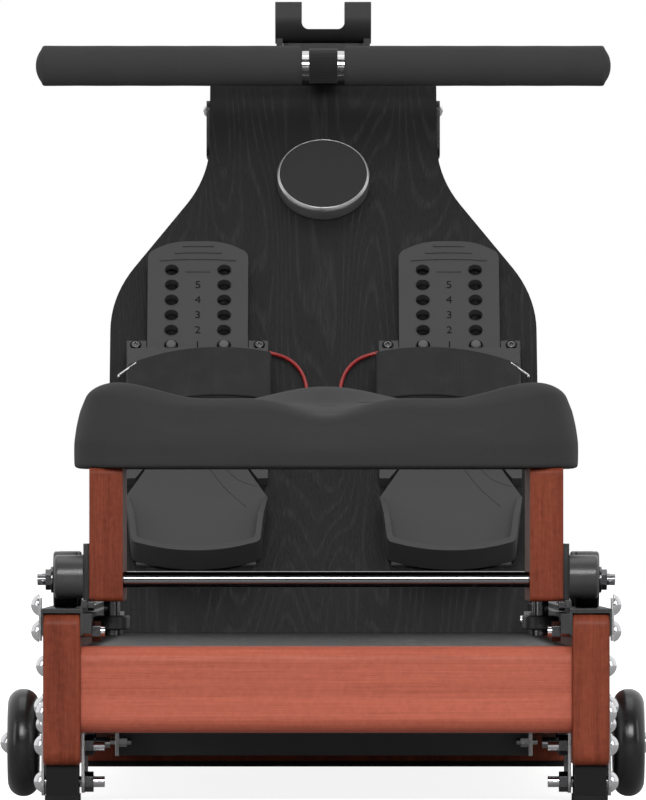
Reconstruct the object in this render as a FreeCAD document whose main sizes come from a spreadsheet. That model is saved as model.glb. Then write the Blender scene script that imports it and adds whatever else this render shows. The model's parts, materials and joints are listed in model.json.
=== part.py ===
"""Rowing machine with two wooden rails, a rolling seat and a strap-and-flywheel drive.

Every sub-part is a feature of one FreeCAD document. The driving dimensions are in the
spreadsheet "dims" (millimetres and degrees), and the features are bound to its cells.

Row frame: +X to the rower's right, +Y from the seat towards the foot board, +Z up. The origin
is on the floor, at the middle of the rails' length and width.
Board frame, used by what is fixed to the inclined foot board: x as above, y up the board's
face from its foot, z out of the face towards the rower.
"""
import FreeCAD, Part
import math
import os

from FreeCAD import Placement, Rotation, Vector

doc = FreeCAD.newDocument("rowing_machine")
sheet = doc.addObject("Spreadsheet::Sheet", "dims")

DIMENSIONS = {
    # side rails and their crossbeams
    "rail_length": 1900, "rail_width": 27, "rail_height": 110.4, "rail_x": 192, "rail_z": 27,
    "rail_end_round": 9, "rail_edge_round": 2.4,
    "beam_depth": 38, "beam_height": 63, "beam_z": 50.3, "beam_round": 11, "beam_y": 923,
    "beam_bolt_low_z": 65, "beam_bolt_high_z": 99,
    # steel track over each rail, guide strip inside it
    "track_rear_y": -948, "track_length": 1330, "track_top": 3.2, "track_wall": 1.6,
    "track_drop": 19.5, "strip_width": 6.4, "strip_height": 14.5, "strip_z": 122.5,
    # seat stops
    "stop_rear_y": -917, "stop_front_y": 205, "stop_plate": 2, "stop_plate_z": 117,
    "stop_plate_height": 31.5, "stop_plate_depth": 22, "stop_bolt_low_z": 124,
    "stop_stud_z": 143.2, "stop_stud_radius": 2, "stop_stud_length": 11, "stop_lug": 4.3,
    "stop_lug_depth": 8, "stop_lug_height": 6, "stop_nut": 4.4, "stop_nut_height": 4.6,
    # fasteners
    "bolt_radius": 4, "fit_gap": 0.05, "dome_radius": 8, "dome_height": 5.8,
    "nut_circle": 7.5, "nut_height": 6.5, "washer_radius": 9.5, "washer_height": 1.6,
    "beam_bolt": 65, "stop_bolt": 48, "foot_bolt": 46, "strut_bolt": 41, "wheel_bolt": 76,
    "wheel_bolt_gap": 0.6, "wheel_bolt_rise": 5.2, "bore_reach": 250,
    # rear feet and transport wheels
    "foot_y": -940, "foot_length": 84, "foot_width": 23, "pad_height": 5, "pad_overhang": 0.8,
    "foot_plate": 2.2, "foot_plate_y": -903, "foot_plate_z": 4, "foot_plate_height": 74,
    "foot_plate_length": 149, "inner_plate_z": 6, "inner_plate_height": 71,
    "foot_bolt_y": -886, "foot_bolt_top_z": 68.5, "foot_bolt_mid_z": 40.5,
    "foot_bolt_low_z": 14, "foot_bolt_back_y": -835, "foot_bolt_back_z": 55,
    "wheel_y": -780, "wheel_z": 40.8, "wheel_radius": 39.7, "wheel_width": 23, "wheel_x": 212,
    "wheel_round": 11, "wheel_hub_radius": 12,
    # foot bars under the rails, the panel at the board's foot, the deck and the drive's base
    "bar_half_width": 204, "bar_depth": 58, "bar_mid_y": 408, "bar_front_y": 884, "bar_z": 5,
    "panel_y": 400, "panel_thickness": 6, "panel_z": 9.5, "panel_height": 60, "panel_half": 172,
    "bracket_leg": 28, "bracket_thickness": 3.2, "bracket_x": 171, "bracket_stud_y": 386,
    "bracket_stud_z": 21.8, "bracket_stud": 3, "bracket_stud_in": 161, "bracket_nut": 5,
    "deck_rear_y": -903.5, "deck_thickness": 12, "deck_top_z": 112,
    "base_rear_y": 470, "base_length": 432, "base_thickness": 4, "base_z": 133,
    # inclined foot board
    "incline": 52, "board_y": 408, "board_z": 112, "board_half": 182.3, "board_length": 600.2,
    "board_thickness": 12, "board_shoulder": 364, "board_neck": 497, "neck_half": 98.3,
    "board_foot_half": 178.3, "board_foot_high": 44, "board_flare_high": 52, "board_corner": 1.5,
    "shoulder_round": 130, "neck_round": 130,
    "strut_width": 30, "strut_thickness": 6, "strut_low_y": 712, "strut_low_z": 98,
    "strut_high_y": 608, "strut_high_z": 318, "strut_stud": 11, "strut_dome": 6,
    "strut_gap_radius": 22.5, "strut_gap_rear": 17, "strut_gap_side": 1,
    # foot rests, in the board frame
    "foot_x": 107.5, "base_half": 60.3, "base_low": 156.5, "base_high": 306, "base_cut": 13,
    "base_mouth": 52.5, "rest_inset": 0.8, "base_floor_gap": 0.3, "base_lip": 4,
    "channel_half": 43.8, "channel_top": 11, "rest_top": 12.5,
    "rest_low": 196, "rest_high": 296.5,
    "slider_half": 43, "slider_low": 63.7, "slider_high": 416.4, "slider_corner": 404,
    "slider_crown_half": 22, "crown_round": 140, "crown_inner_round": 122, "slider_round": 10,
    "slider_bottom": 4.3, "slider_thickness": 6, "hole_radius": 5.9, "hole_x": 22.5,
    "hole_first": 301.4, "hole_pitch": 16.6, "heel_half": 60.3, "heel_neck": 167,
    "heel_shoulder": 136, "heel_end_half": 54, "heel_end": 73.5, "heel_crown_half": 22,
    "heel_wall": 4.5, "heel_top": 31, "heel_ramp": 34, "heel_corner": 7, "heel_shoulder_round": 5,
    "heel_neck_round": 14, "slider_crown_round": 50,
    "strap_low": 222, "strap_width": 52, "strap_inner_side": 36, "strap_outer_side": 20,
    "strap_outer_half": 58.6, "strap_crown": 42.8, "strap_crown_x": 20,
    "strap_thickness": 2.6, "cord_radius": 1.6,
    # resistance dial, in the board frame
    "dial_radius": 39.8, "dial_height": 16.5, "dial_y": 487, "dial_round": 1.2, "stem_radius": 6,
    # drive housing and what it holds
    "cover_half": 98, "cover_wall": 3, "cover_bottom": 137.2, "cover_top": 572, "cover_front": 905,
    "cover_front_high": 430, "cover_top_front": 872, "cover_half_gap": 0.1, "slot_half": 20,
    "slot_rear_y": 797, "slot_length": 46,
    "neck_plate": 3, "neck_plate_low": 523, "neck_plate_high": 571.5, "neck_plate_rear": 770,
    "neck_plate_front": 868, "neck_plate_round": 8, "neck_bolt_z": 564, "neck_bolt_rear_y": 795,
    "neck_bolt_front_y": 850, "neck_stud": 5, "neck_dome": 4.1, "neck_dome_rise": 3,
    "fly_y": 732, "fly_z": 300, "fly_radius": 113, "fly_width": 14, "fly_x": -45,
    "fly_pulley_radius": 16, "drum_y": 792, "drum_z": 480, "drum_radius": 38, "drum_half": 15,
    "drum_flange": 44, "drum_pulley_radius": 54, "pulley_x": 22, "belt_width": 12,
    "belt_thickness": 2, "axle_radius": 6, "bracket_pivot_y": 862, "bracket_pivot_z": 380,
    "bracket_hub": 9, "magnet_reach": 50, "magnet_half": 20, "magnet_gap": 3, "magnet_cheek": 4,
    "spring_x": -36, "spring_width": 14, "spring_inner": 12, "spring_pitch": 5, "spring_strip": 1,
    # strap guide and handle cradle over the neck
    "guide_half": 35, "guide_rear_y": 790, "guide_length": 70, "guide_z": 572, "guide_height": 50,
    "guide_wall": 3, "roller_y": 815, "roller_z": 587.9, "roller_radius": 11, "roller_half": 16,
    "cradle_half": 41.8, "cradle_y": 822, "cradle_z": 645.5, "cradle_inner": 19.5,
    "cradle_wall": 3, "cradle_top": 658.5, "notch_half": 18.6, "notch_z": 635,
    "leg_width": 26, "leg_thickness": 5.6, "leg_low_z": 596, "leg_screw_z": 613,
    "leg_stud": 4, "leg_dome": 4.6, "leg_dome_rise": 5,
    # handle and strap
    "handle_y": 740, "handle_z": 600.4, "handle_half": 249, "tube_radius": 13, "grip_radius": 17.5,
    "grip_start": 18.3, "grip_round": 8, "loop_half": 12.4, "loop_radius": 15.6,
    "strap_height": 1.6, "tube_inset": 6.5, "tube_wall": 1.5, "loop_tail": 4.4,
    # seat and carriage
    "seat_y": -805, "seat_half": 186, "seat_depth": 246, "seat_z": 243, "seat_height": 62,
    "seat_round": 24, "pan_half": 150, "pan_depth": 180, "pan_height": 10,
    "block_x": 148.4, "block_width": 24.3, "block_z": 145.7, "block_depth": 206,
    "block_bevel": 4, "side_plate": 4.4, "side_plate_z": 141.5, "side_plate_height": 46.3,
    "axle_rear_y": -880, "axle_front_y": -730, "axle_z": 161.4, "seat_axle_radius": 5.8,
    "axle_half": 211, "seat_wheel_x": 181.6, "seat_wheel_width": 17.6, "seat_wheel_radius": 20.7,
    "guard_length": 21, "guard_radius": 16, "guard_offset": 24, "guard_rise": 2.2,
    "guard_gap_radius": 22, "guard_round": 2.6,
    "guide_x": 157.8, "guide_rear_axis": -845, "guide_front_axis": -765, "guide_radius": 12.6,
    "guide_low_z": 124.7, "guide_thickness": 9.9, "button_radius": 7.5, "button_height": 4.2,
    "close_gap": 0.1, "part_gap": 0.2, "wheel_gap": 0.3, "axle_nut_height": 4,
    "axle_spacer_radius": 7, "roller_spacer_radius": 5.4, "roller_bolt_depth": 26,
    "roller_bore_depth": 30, "roller_bore_lead": 2, "side_plate_inset": 4,
}
for row, (alias, number) in enumerate(DIMENSIONS.items(), start=1):
    sheet.set(f"A{row}", alias.replace("_", " "))
    sheet.set(f"B{row}", str(number))
    sheet.setAlias(f"B{row}", alias)
doc.recompute()

X_AXIS = Vector(1, 0, 0)
Y_AXIS = Vector(0, 1, 0)
Z_AXIS = Vector(0, 0, 1)
TURNED = {"X": Rotation(Y_AXIS, 90), "Y": Rotation(X_AXIS, -90), "Z": Rotation()}
# Turns a shape drawn in XY, with its thickness along Z, to lie in YZ with its thickness along X.
ON_ITS_SIDE = Rotation(Y_AXIS, Z_AXIS, X_AXIS, "ZXY")
SIDES = (("left", -1), ("right", 1))
nodes = []


def size(alias):
    """Value of one driving dimension."""
    return float(sheet.get(alias))


def value(expression):
    """Value of an expression of the sheet's aliases."""
    return float(sheet.evalExpression(expression))


BOARD = Placement(Vector(0, size("board_y"), size("board_z")), Rotation(X_AXIS, size("incline")))
BOLT_BORE = size("bolt_radius") + size("fit_gap")
AXLE_BORE = size("axle_radius") + size("fit_gap")


def bind(feature, **expressions):
    """Bind properties of a feature to expressions of the sheet's aliases."""
    for name, expression in expressions.items():
        feature.setExpression(name.replace("__", "."), expression)


def place(feature, corner):
    """Bind the three coordinates of a feature's place."""
    for axis, expression in zip("xyz", corner):
        feature.setExpression(f"Placement.Base.{axis}", expression)


def keep(feature, label, placement=None):
    """Name a finished sub-part and list it as a node."""
    feature.Label = label
    if placement is not None:
        feature.Placement = placement
    nodes.append(feature)
    return feature


def box(lengths, corner):
    """Box of the given lengths along X, Y and Z from its lowest corner."""
    feature = doc.addObject("Part::Box", "Box")
    bind(feature, Length=lengths[0], Width=lengths[1], Height=lengths[2])
    place(feature, corner)
    return feature


def rod(radius, length, start, along="X"):
    """Cylinder from start along one axis."""
    feature = doc.addObject("Part::Cylinder", "Rod")
    bind(feature, Radius=radius, Height=length)
    feature.Placement = Placement(Vector(), TURNED[along])
    place(feature, start)
    return feature


def prism(circle, length, start, along="X"):
    """Hexagonal prism from start along one axis."""
    feature = doc.addObject("Part::Prism", "Hexagon")
    feature.Polygon = 6
    bind(feature, Circumradius=circle, Height=length)
    feature.Placement = Placement(Vector(), TURNED[along])
    place(feature, start)
    return feature


def cut(base, tools):
    """Base less the tools."""
    feature = doc.addObject("Part::Cut", "Cut")
    feature.Base = base
    feature.Tool = tools[0] if len(tools) == 1 else fuse(tools)
    return feature


def fuse(parts):
    """Union of parts."""
    feature = doc.addObject("Part::MultiFuse", "Fusion")
    feature.Shapes = parts
    return feature


def group(parts):
    """Separate solids that make up one node."""
    feature = doc.addObject("Part::Compound", "Group")
    feature.Links = parts
    return feature


def direction(edge):
    """Unit direction of a straight edge, or None for a curved one."""
    if not isinstance(edge.Curve, Part.Line):
        return None
    return (edge.Vertexes[1].Point - edge.Vertexes[0].Point).normalize()


def along(axis):
    """Chooser of the straight edges that are parallel to an axis."""
    def chooser(edge):
        course = direction(edge)
        return course is not None and abs(course.dot(axis)) > 0.999
    return chooser


def rounded(base, radius_alias, chooser):
    """Base with the chosen edges rounded."""
    doc.recompute()
    radius = size(radius_alias)
    feature = doc.addObject("Part::Fillet", "Rounded")
    feature.Base = base
    edges = enumerate(base.Shape.Edges, start=1)
    feature.Edges = [(number, radius, radius) for number, edge in edges if chooser(edge)]
    return feature


def outline(points, radii):
    """Closed wire through corner points in the XY plane, each corner rounded to its radius."""
    corners = []
    count = len(points)
    for number, (point, radius) in enumerate(zip(points, radii)):
        here = Vector(*point, 0)
        before = (Vector(*points[number - 1], 0) - here).normalize()
        after = (Vector(*points[(number + 1) % count], 0) - here).normalize()
        half_angle = before.getAngle(after) / 2
        setback = radius / math.tan(half_angle)
        middle = (before + after).normalize()
        depth = radius / math.sin(half_angle) - radius
        corners.append((here + before * setback, here + middle * depth, here + after * setback, radius))
    edges = []
    for number, (start, middle, end, radius) in enumerate(corners):
        if radius > 0:
            edges.append(Part.Arc(start, middle, end).toShape())
        following = corners[(number + 1) % count][0]
        edges.append(Part.LineSegment(end, following).toShape())
    return Part.Wire(edges)


def slab(points, radii, low, high):
    """Solid between two heights over a rounded outline."""
    face = Part.Face(outline(points, radii))
    face.translate(Vector(0, 0, low))
    return face.extrude(Vector(0, 0, high - low))


def mirrored_outline(half_points, half_radii):
    """Outline symmetric about x = 0 from its right-hand points, listed from the bottom up."""
    left_points = [(-x, y) for x, y in reversed(half_points)]
    return half_points + left_points, half_radii + half_radii[::-1]


def shape_feature(label, shape, placement=None):
    """Node whose shape is worked out from the sheet's values."""
    feature = doc.addObject("Part::Feature", "Shaped")
    feature.Shape = shape
    return keep(feature, label, placement)


def origin_plane(body, role):
    """One of a body's own origin planes."""
    return next(plane for plane in body.Origin.OriginFeatures if plane.Role == role)


def turned_body(label, profile, placement):
    """Body turned about its own X axis from (x, radius) points."""
    body = doc.addObject("PartDesign::Body", "Turned")
    sketch = body.newObject("Sketcher::SketchObject", "Profile")
    sketch.AttachmentSupport = [(origin_plane(body, "XY_Plane"), "")]
    sketch.MapMode = "FlatFace"
    points = [Vector(x, radius, 0) for x, radius in profile]
    for start, end in zip(points, points[1:] + points[:1]):
        sketch.addGeometry(Part.LineSegment(start, end), False)
    doc.recompute()
    turn = body.newObject("PartDesign::Revolution", "Turn")
    turn.Profile = sketch
    turn.ReferenceAxis = (sketch, ["H_Axis"])
    turn.Angle = 360
    doc.recompute()
    return keep(body, label, placement)


def drill(base, bores, radius="dims.bolt_radius + dims.fit_gap"):
    """Base with bores along X right across the machine, at (y, z) expressions."""
    tools = []
    for y, z in bores:
        tools.append(rod(radius, "2 * dims.bore_reach", ("-dims.bore_reach", y, z)))
    return cut(base, tools)


def dome_bolt(side, face, y, z, length, dome="dims.dome_radius", rise="dims.dome_height"):
    """Dome-headed bolt: head outside the face at x = face, shank running inwards."""
    start, head, height, reach = (value(text) for text in (face, dome, rise, length))
    shank = size("bolt_radius")
    ball = (head * head + height * height) / (2 * height)
    lean = math.asin(head / ball) / 2
    shoulder = Vector(start + height - ball + ball * math.cos(lean), ball * math.sin(lean), 0)
    rim = Vector(start, head, 0)
    top = Vector(start + height, 0, 0)
    corners = [rim, Vector(start, shank, 0), Vector(start - reach, shank, 0), Vector(start - reach, 0, 0),
               top]
    edges = [Part.Arc(top, shoulder, rim).toShape()]
    for first, second in zip(corners, corners[1:]):
        edges.append(Part.LineSegment(first, second).toShape())
    bolt = doc.addObject("Part::Feature", "DomeBolt")
    bolt.Shape = Part.Face(Part.Wire(edges)).revolve(Vector(), X_AXIS, 360)
    turn = Rotation() if side > 0 else Rotation(Z_AXIS, 180)
    bolt.Placement = Placement(Vector(0, value(y), value(z)), turn)
    return bolt


RAIL_OUT = "(dims.rail_x + dims.rail_width / 2)"
RAIL_IN = "(dims.rail_x - dims.rail_width / 2)"
RAIL_TOP = "(dims.rail_z + dims.rail_height)"
TRACK_TOP = f"({RAIL_TOP} + dims.track_top)"
TRACK_OUT = f"({RAIL_OUT} + dims.track_wall)"
BEAM_BORES = []
for end in ("-", ""):
    for height in ("low", "high"):
        BEAM_BORES.append((f"{end}dims.beam_y", f"dims.beam_bolt_{height}_z"))
STOP_BORES = [(f"dims.stop_{end}_y", "dims.stop_bolt_low_z") for end in ("rear", "front")]
FOOT_BORES = [("dims.foot_bolt_y", "dims.foot_bolt_top_z"), ("dims.foot_bolt_y", "dims.foot_bolt_mid_z"),
              ("dims.foot_bolt_back_y", "dims.foot_bolt_back_z")]
FOOT_LOW_BORE = ("dims.foot_bolt_y", "dims.foot_bolt_low_z")
WHEEL_BORE = ("dims.wheel_y", "dims.wheel_z")
STRUT_BORE = ("dims.strut_low_y", "dims.strut_low_z")
NECK_BORES = (("dims.neck_bolt_rear_y", "dims.neck_bolt_z"), ("dims.neck_bolt_front_y", "dims.neck_bolt_z"))


def side_start(side, inner, width):
    """Lowest x of a piece that starts at inner on the right side, or is its mirror image."""
    return inner if side > 0 else f"-({inner} + {width})"


def side_rails():
    """Solid wooden rails the whole length of the machine, rounded at their ends."""
    bores = BEAM_BORES + STOP_BORES + FOOT_BORES + [WHEEL_BORE, STRUT_BORE]
    for name, side in SIDES:
        corner = (side_start(side, RAIL_IN, "dims.rail_width"), "-dims.rail_length / 2", "dims.rail_z")
        beam = box(("dims.rail_width", "dims.rail_length", "dims.rail_height"), corner)
        ended = rounded(beam, "rail_end_round", along(X_AXIS))
        softened = rounded(ended, "rail_edge_round", lambda edge: not along(X_AXIS)(edge))
        keep(drill(softened, bores), f"{name}_side_rail")


def crossbeams():
    """Wooden beams between the rails at both ends, with large rounded edges."""
    for name, sign in (("rear", "-"), ("front", "")):
        corner = (f"-{RAIL_IN} + dims.close_gap", f"{sign}dims.beam_y - dims.beam_depth / 2", "dims.beam_z")
        beam = box((f"2 * {RAIL_IN} - 2 * dims.close_gap", "dims.beam_depth", "dims.beam_height"), corner)
        shaped = rounded(beam, "beam_round", along(X_AXIS))
        keep(drill(shaped, BEAM_BORES), f"{name}_crossbeam")


def rail_tracks():
    """Steel channel over the top of each rail, on which the seat rolls."""
    caps = []
    strips = []
    for _, side in SIDES:
        inner = f"({RAIL_IN} - dims.track_wall)"
        width = "(dims.rail_width + 2 * dims.track_wall)"
        outer = box((width, "dims.track_length", "dims.track_drop"),
                    (side_start(side, inner, width), "dims.track_rear_y", f"{TRACK_TOP} - dims.track_drop"))
        hollow = box(("dims.rail_width", "dims.track_length + 20", "dims.track_drop"),
                     (side_start(side, RAIL_IN, "dims.rail_width"), "dims.track_rear_y - 10",
                      f"{RAIL_TOP} - dims.track_drop"))
        caps.append(drill(cut(outer, [hollow]), STOP_BORES))
        strip_in = f"({RAIL_IN} - dims.track_wall - dims.strip_width)"
        strip = box(("dims.strip_width", "dims.track_length", "dims.strip_height"),
                    (side_start(side, strip_in, "dims.strip_width"), "dims.track_rear_y", "dims.strip_z"))
        strips.append(drill(strip, STOP_BORES))
    keep(group(caps), "rail_tracks")
    keep(group(strips), "guide_strips")


def seat_stops():
    """Bright plates outside the rails, and the studs inside them that stop the seat."""
    plates = []
    studs = []
    for _, side in SIDES:
        for end in ("rear", "front"):
            y = f"dims.stop_{end}_y"
            plate = box(("dims.stop_plate", "dims.stop_plate_depth", "dims.stop_plate_height"),
                        (side_start(side, TRACK_OUT, "dims.stop_plate"), f"{y} - dims.stop_plate_depth / 2",
                         "dims.stop_plate_z"))
            plates.append(drill(plate, STOP_BORES))
            studs.append(stop_stud(side, y))
    keep(group(plates), "stop_plates")
    keep(group(studs), "stop_studs")


def stop_stud(side, y):
    """Lug on a track with the stud and nut that meet the carriage."""
    lug_in = f"({RAIL_IN} - dims.part_gap - dims.stop_lug)"
    lug = box(("dims.stop_lug", "dims.stop_lug_depth", "dims.stop_lug_height"),
              (side_start(side, lug_in, "dims.stop_lug"), f"{y} - dims.stop_lug_depth / 2", TRACK_TOP))
    stud_in = f"({RAIL_IN} - dims.stop_stud_length)"
    stud = rod("dims.stop_stud_radius", "dims.stop_stud_length",
               (side_start(side, stud_in, "dims.stop_stud_length"), y, "dims.stop_stud_z"))
    nut_in = f"({lug_in} - dims.stop_nut_height - 0.4)"
    nut = prism("dims.stop_nut", "dims.stop_nut_height",
                (side_start(side, nut_in, "dims.stop_nut_height"), y, "dims.stop_stud_z"))
    return fuse([lug, stud, nut])


def side_bolts():
    """Dome-headed bolts through the rails, and the nuts on their inner ends."""
    bolts = []
    nuts = []
    plate_out = f"({RAIL_OUT} + dims.foot_plate)"
    stop_out = f"({TRACK_OUT} + dims.stop_plate)"
    inner_plate = f"({RAIL_IN} - dims.foot_plate)"
    for _, side in SIDES:
        for y, z in BEAM_BORES:
            bolts.append(dome_bolt(side, RAIL_OUT, y, z, "dims.beam_bolt"))
        for y, z in STOP_BORES:
            bolts.append(dome_bolt(side, stop_out, y, z, "dims.stop_bolt"))
            nut_in = f"({RAIL_IN} - dims.track_wall - dims.strip_width - dims.nut_height)"
            nuts.append(hex_nut(side, nut_in, y, z))
        for y, z in FOOT_BORES + [FOOT_LOW_BORE]:
            bolts.append(dome_bolt(side, plate_out, y, z, "dims.foot_bolt"))
            nuts.append(hex_nut(side, f"({inner_plate} - dims.nut_height)", y, z))
        y, z = STRUT_BORE
        bolts.append(dome_bolt(side, RAIL_OUT, y, z, "dims.strut_bolt"))
        nuts.append(hex_nut(side, f"({RAIL_IN} - 0.2 - dims.strut_thickness - dims.nut_height)", y, z))
        y, z = WHEEL_BORE
        head = "(dims.wheel_x + dims.wheel_width + dims.wheel_bolt_gap)"
        bolts.append(dome_bolt(side, head, y, z, "dims.wheel_bolt", rise="dims.wheel_bolt_rise"))
        nuts.append(hex_nut(side, f"({inner_plate} - dims.nut_height)", y, z))
    keep(group(bolts), "dome_bolts")
    keep(group(nuts), "hex_nuts")


def hex_nut(side, inner, y, z):
    """Nut with its hole, whose inner face is at x = inner."""
    nut = prism("dims.nut_circle", "dims.nut_height", (side_start(side, inner, "dims.nut_height"), y, z))
    return drill(nut, [(y, z)])


def rear_feet():
    """Blocks under the rails' rear ends between steel plates, which also carry the wheels."""
    blocks = []
    plates = []
    for _, side in SIDES:
        inner = "(dims.rail_x - dims.foot_width / 2)"
        block = box(("dims.foot_width", "dims.foot_length", "dims.rail_z - dims.pad_height"),
                    (side_start(side, inner, "dims.foot_width"), "dims.foot_y", "dims.pad_height"))
        blocks.append(drill(block, [FOOT_LOW_BORE]))
        bores = FOOT_BORES + [FOOT_LOW_BORE, WHEEL_BORE]
        outer_plate = box(("dims.foot_plate", "dims.foot_plate_length", "dims.foot_plate_height"),
                          (side_start(side, RAIL_OUT, "dims.foot_plate"), "dims.foot_plate_y",
                           "dims.foot_plate_z"))
        plates.append(drill(rounded(outer_plate, "rail_end_round", along(X_AXIS)), bores))
        plate_in = f"({RAIL_IN} - dims.foot_plate)"
        inner_plate = box(("dims.foot_plate", "dims.foot_plate_length", "dims.inner_plate_height"),
                          (side_start(side, plate_in, "dims.foot_plate"), "dims.foot_plate_y",
                           "dims.inner_plate_z"))
        plates.append(drill(rounded(inner_plate, "rail_end_round", along(X_AXIS)), bores))
    keep(group(blocks), "rear_foot_blocks")
    keep(group(plates), "foot_plates")


def foot_pads():
    """Rubber under the rear blocks and along both foot bars: all that meets the floor."""
    pads = []
    for _, side in SIDES:
        width = "(dims.foot_width + 2 * dims.pad_overhang)"
        inner = f"(dims.rail_x - {width} / 2)"
        pads.append(box((width, "dims.foot_length", "dims.pad_height"),
                        (side_start(side, inner, width), "dims.foot_y", "0")))
    for y in ("dims.bar_mid_y", "dims.bar_front_y"):
        pads.append(box(("2 * dims.bar_half_width - 4", "dims.bar_depth - 10", "dims.bar_z"),
                        ("-dims.bar_half_width + 2", f"{y} + 2", "0")))
    keep(group(pads), "foot_pads")


def foot_bars():
    """Wooden bars across under both rails, at the board's foot and at the front end."""
    bars = []
    for y in ("dims.bar_mid_y", "dims.bar_front_y"):
        bar = box(("2 * dims.bar_half_width", "dims.bar_depth", "dims.rail_z - dims.bar_z"),
                  ("-dims.bar_half_width", y, "dims.bar_z"))
        bars.append(rounded(bar, "rail_end_round", along(Z_AXIS)))
    keep(group(bars), "foot_bars")


def board_foot_panel():
    """Black panel across between the rails under the deck's front edge, with its corner brackets."""
    panel = box(("2 * dims.panel_half", "dims.panel_thickness", "dims.panel_height"),
                ("-dims.panel_half", "dims.panel_y", "dims.panel_z"))
    keep(panel, "cross_panel")
    brackets = []
    for _, side in SIDES:
        leg = box(("dims.bracket_thickness", "dims.bracket_leg", "dims.panel_height"),
                  (side_start(side, "dims.bracket_x", "dims.bracket_thickness"),
                   "dims.panel_y - dims.bracket_leg", "dims.panel_z"))
        stud_length = f"({RAIL_IN} - dims.bracket_stud_in)"
        stud = rod("dims.bracket_stud", stud_length,
                   (side_start(side, "dims.bracket_stud_in", stud_length), "dims.bracket_stud_y",
                    "dims.bracket_stud_z"))
        nut = prism("dims.bracket_nut", "dims.nut_height",
                    (side_start(side, "(dims.bracket_x - dims.nut_height)", "dims.nut_height"),
                     "dims.bracket_stud_y", "dims.bracket_stud_z"))
        brackets.append(fuse([leg, stud, nut]))
    keep(group(brackets), "corner_brackets")


def deck_and_base():
    """Black deck between the rails behind the seat's run, and the plate that carries the drive."""
    width = f"(2 * {RAIL_IN} - 2 * dims.part_gap)"
    deck = box((width, "dims.board_y - dims.deck_rear_y - 0.5", "dims.deck_thickness"),
               (f"-{width} / 2", "dims.deck_rear_y", "dims.deck_top_z - dims.deck_thickness"))
    keep(deck, "deck_board")
    base = box((width, "dims.base_length", "dims.base_thickness"),
               (f"-{width} / 2", "dims.base_rear_y", "dims.base_z"))
    gaps = []
    for _, side in SIDES:
        gap_in = f"({RAIL_IN} - dims.strut_thickness - dims.strut_gap_side)"
        gap_width = "(dims.strut_thickness + 2 * dims.strut_gap_side)"
        gaps.append(rod("dims.strut_gap_radius", gap_width,
                        (side_start(side, gap_in, gap_width), "dims.strut_low_y - dims.strut_gap_rear",
                         "dims.base_z")))
    keep(cut(base, gaps), "base_plate")


def foot_board():
    """Inclined board: full width at the feet, drawn in by two curves to a neck."""
    half = [(size("board_foot_half"), 0), (size("board_foot_half"), size("board_foot_high")),
            (size("board_half"), size("board_flare_high")), (size("board_half"), size("board_shoulder")),
            (size("neck_half"), size("board_neck")), (size("neck_half"), size("board_length"))]
    radii = [0, 0, 0, size("shoulder_round"), size("neck_round"), size("board_corner")]
    points, all_radii = mirrored_outline(half, radii)
    body = doc.addObject("PartDesign::Body", "Board")
    sketch = body.newObject("Sketcher::SketchObject", "BoardOutline")
    sketch.AttachmentSupport = [(origin_plane(body, "XY_Plane"), "")]
    sketch.MapMode = "FlatFace"
    for edge in outline(points, all_radii).Edges:
        straight = isinstance(edge.Curve, Part.Line)
        ends = [vertex.Point for vertex in edge.Vertexes]
        if straight:
            sketch.addGeometry(Part.LineSegment(*ends), False)
        else:
            middle = edge.valueAt((edge.FirstParameter + edge.LastParameter) / 2)
            sketch.addGeometry(Part.Arc(ends[0], middle, ends[1]), False)
    doc.recompute()
    pad = body.newObject("PartDesign::Pad", "Thickness")
    pad.Profile = sketch
    pad.Reversed = True
    bind(pad, Length="dims.board_thickness")
    doc.recompute()
    solid_volume = body.Shape.Volume
    circle = body.newObject("Sketcher::SketchObject", "StemHole")
    circle.AttachmentSupport = [(origin_plane(body, "XY_Plane"), "")]
    circle.MapMode = "FlatFace"
    centre = Vector(0, size("dial_y"), 0)
    circle.addGeometry(Part.Circle(centre, Z_AXIS, size("stem_radius") + size("fit_gap")), False)
    pocket = body.newObject("PartDesign::Pocket", "StemBore")
    pocket.Profile = circle
    bind(pocket, Length="dims.board_thickness + 1")
    doc.recompute()
    if body.Shape.Volume > solid_volume - 1000:
        raise RuntimeError("the dial's bore cuts nothing")
    keep(body, "foot_board", BOARD)


def board_struts():
    """Steel bars from the rails up to the back of the board."""
    low = Vector(0, size("strut_low_y"), size("strut_low_z"))
    high = Vector(0, size("strut_high_y"), size("strut_high_z"))
    run = high - low
    reach = size("strut_width") / 2
    thickness = size("strut_thickness")
    inner = size("rail_x") - size("rail_width") / 2 - thickness - 0.1
    turn = Rotation(X_AXIS, math.degrees(math.atan2(run.z, run.y)))
    bars = []
    for _, side in SIDES:
        far = run.Length + reach
        points = [(-reach, -reach), (far, -reach), (far, reach), (-reach, reach)]
        bar = slab(points, [reach * 0.98] * 4, 0, thickness)
        for distance in (0, run.Length):
            bar = bar.cut(Part.makeCylinder(BOLT_BORE, 4 * thickness, Vector(distance, 0, -thickness)))
        bar.Placement = Placement(Vector(), ON_ITS_SIDE)
        start = inner if side > 0 else -(inner + thickness)
        bars.append((bar, Placement(Vector(start, low.y, low.z), turn)))
    solids = []
    for bar, seat in bars:
        bar.Placement = seat.multiply(bar.Placement)
        solids.append(bar)
    shape_feature("board_struts", Part.makeCompound(solids))


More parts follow.
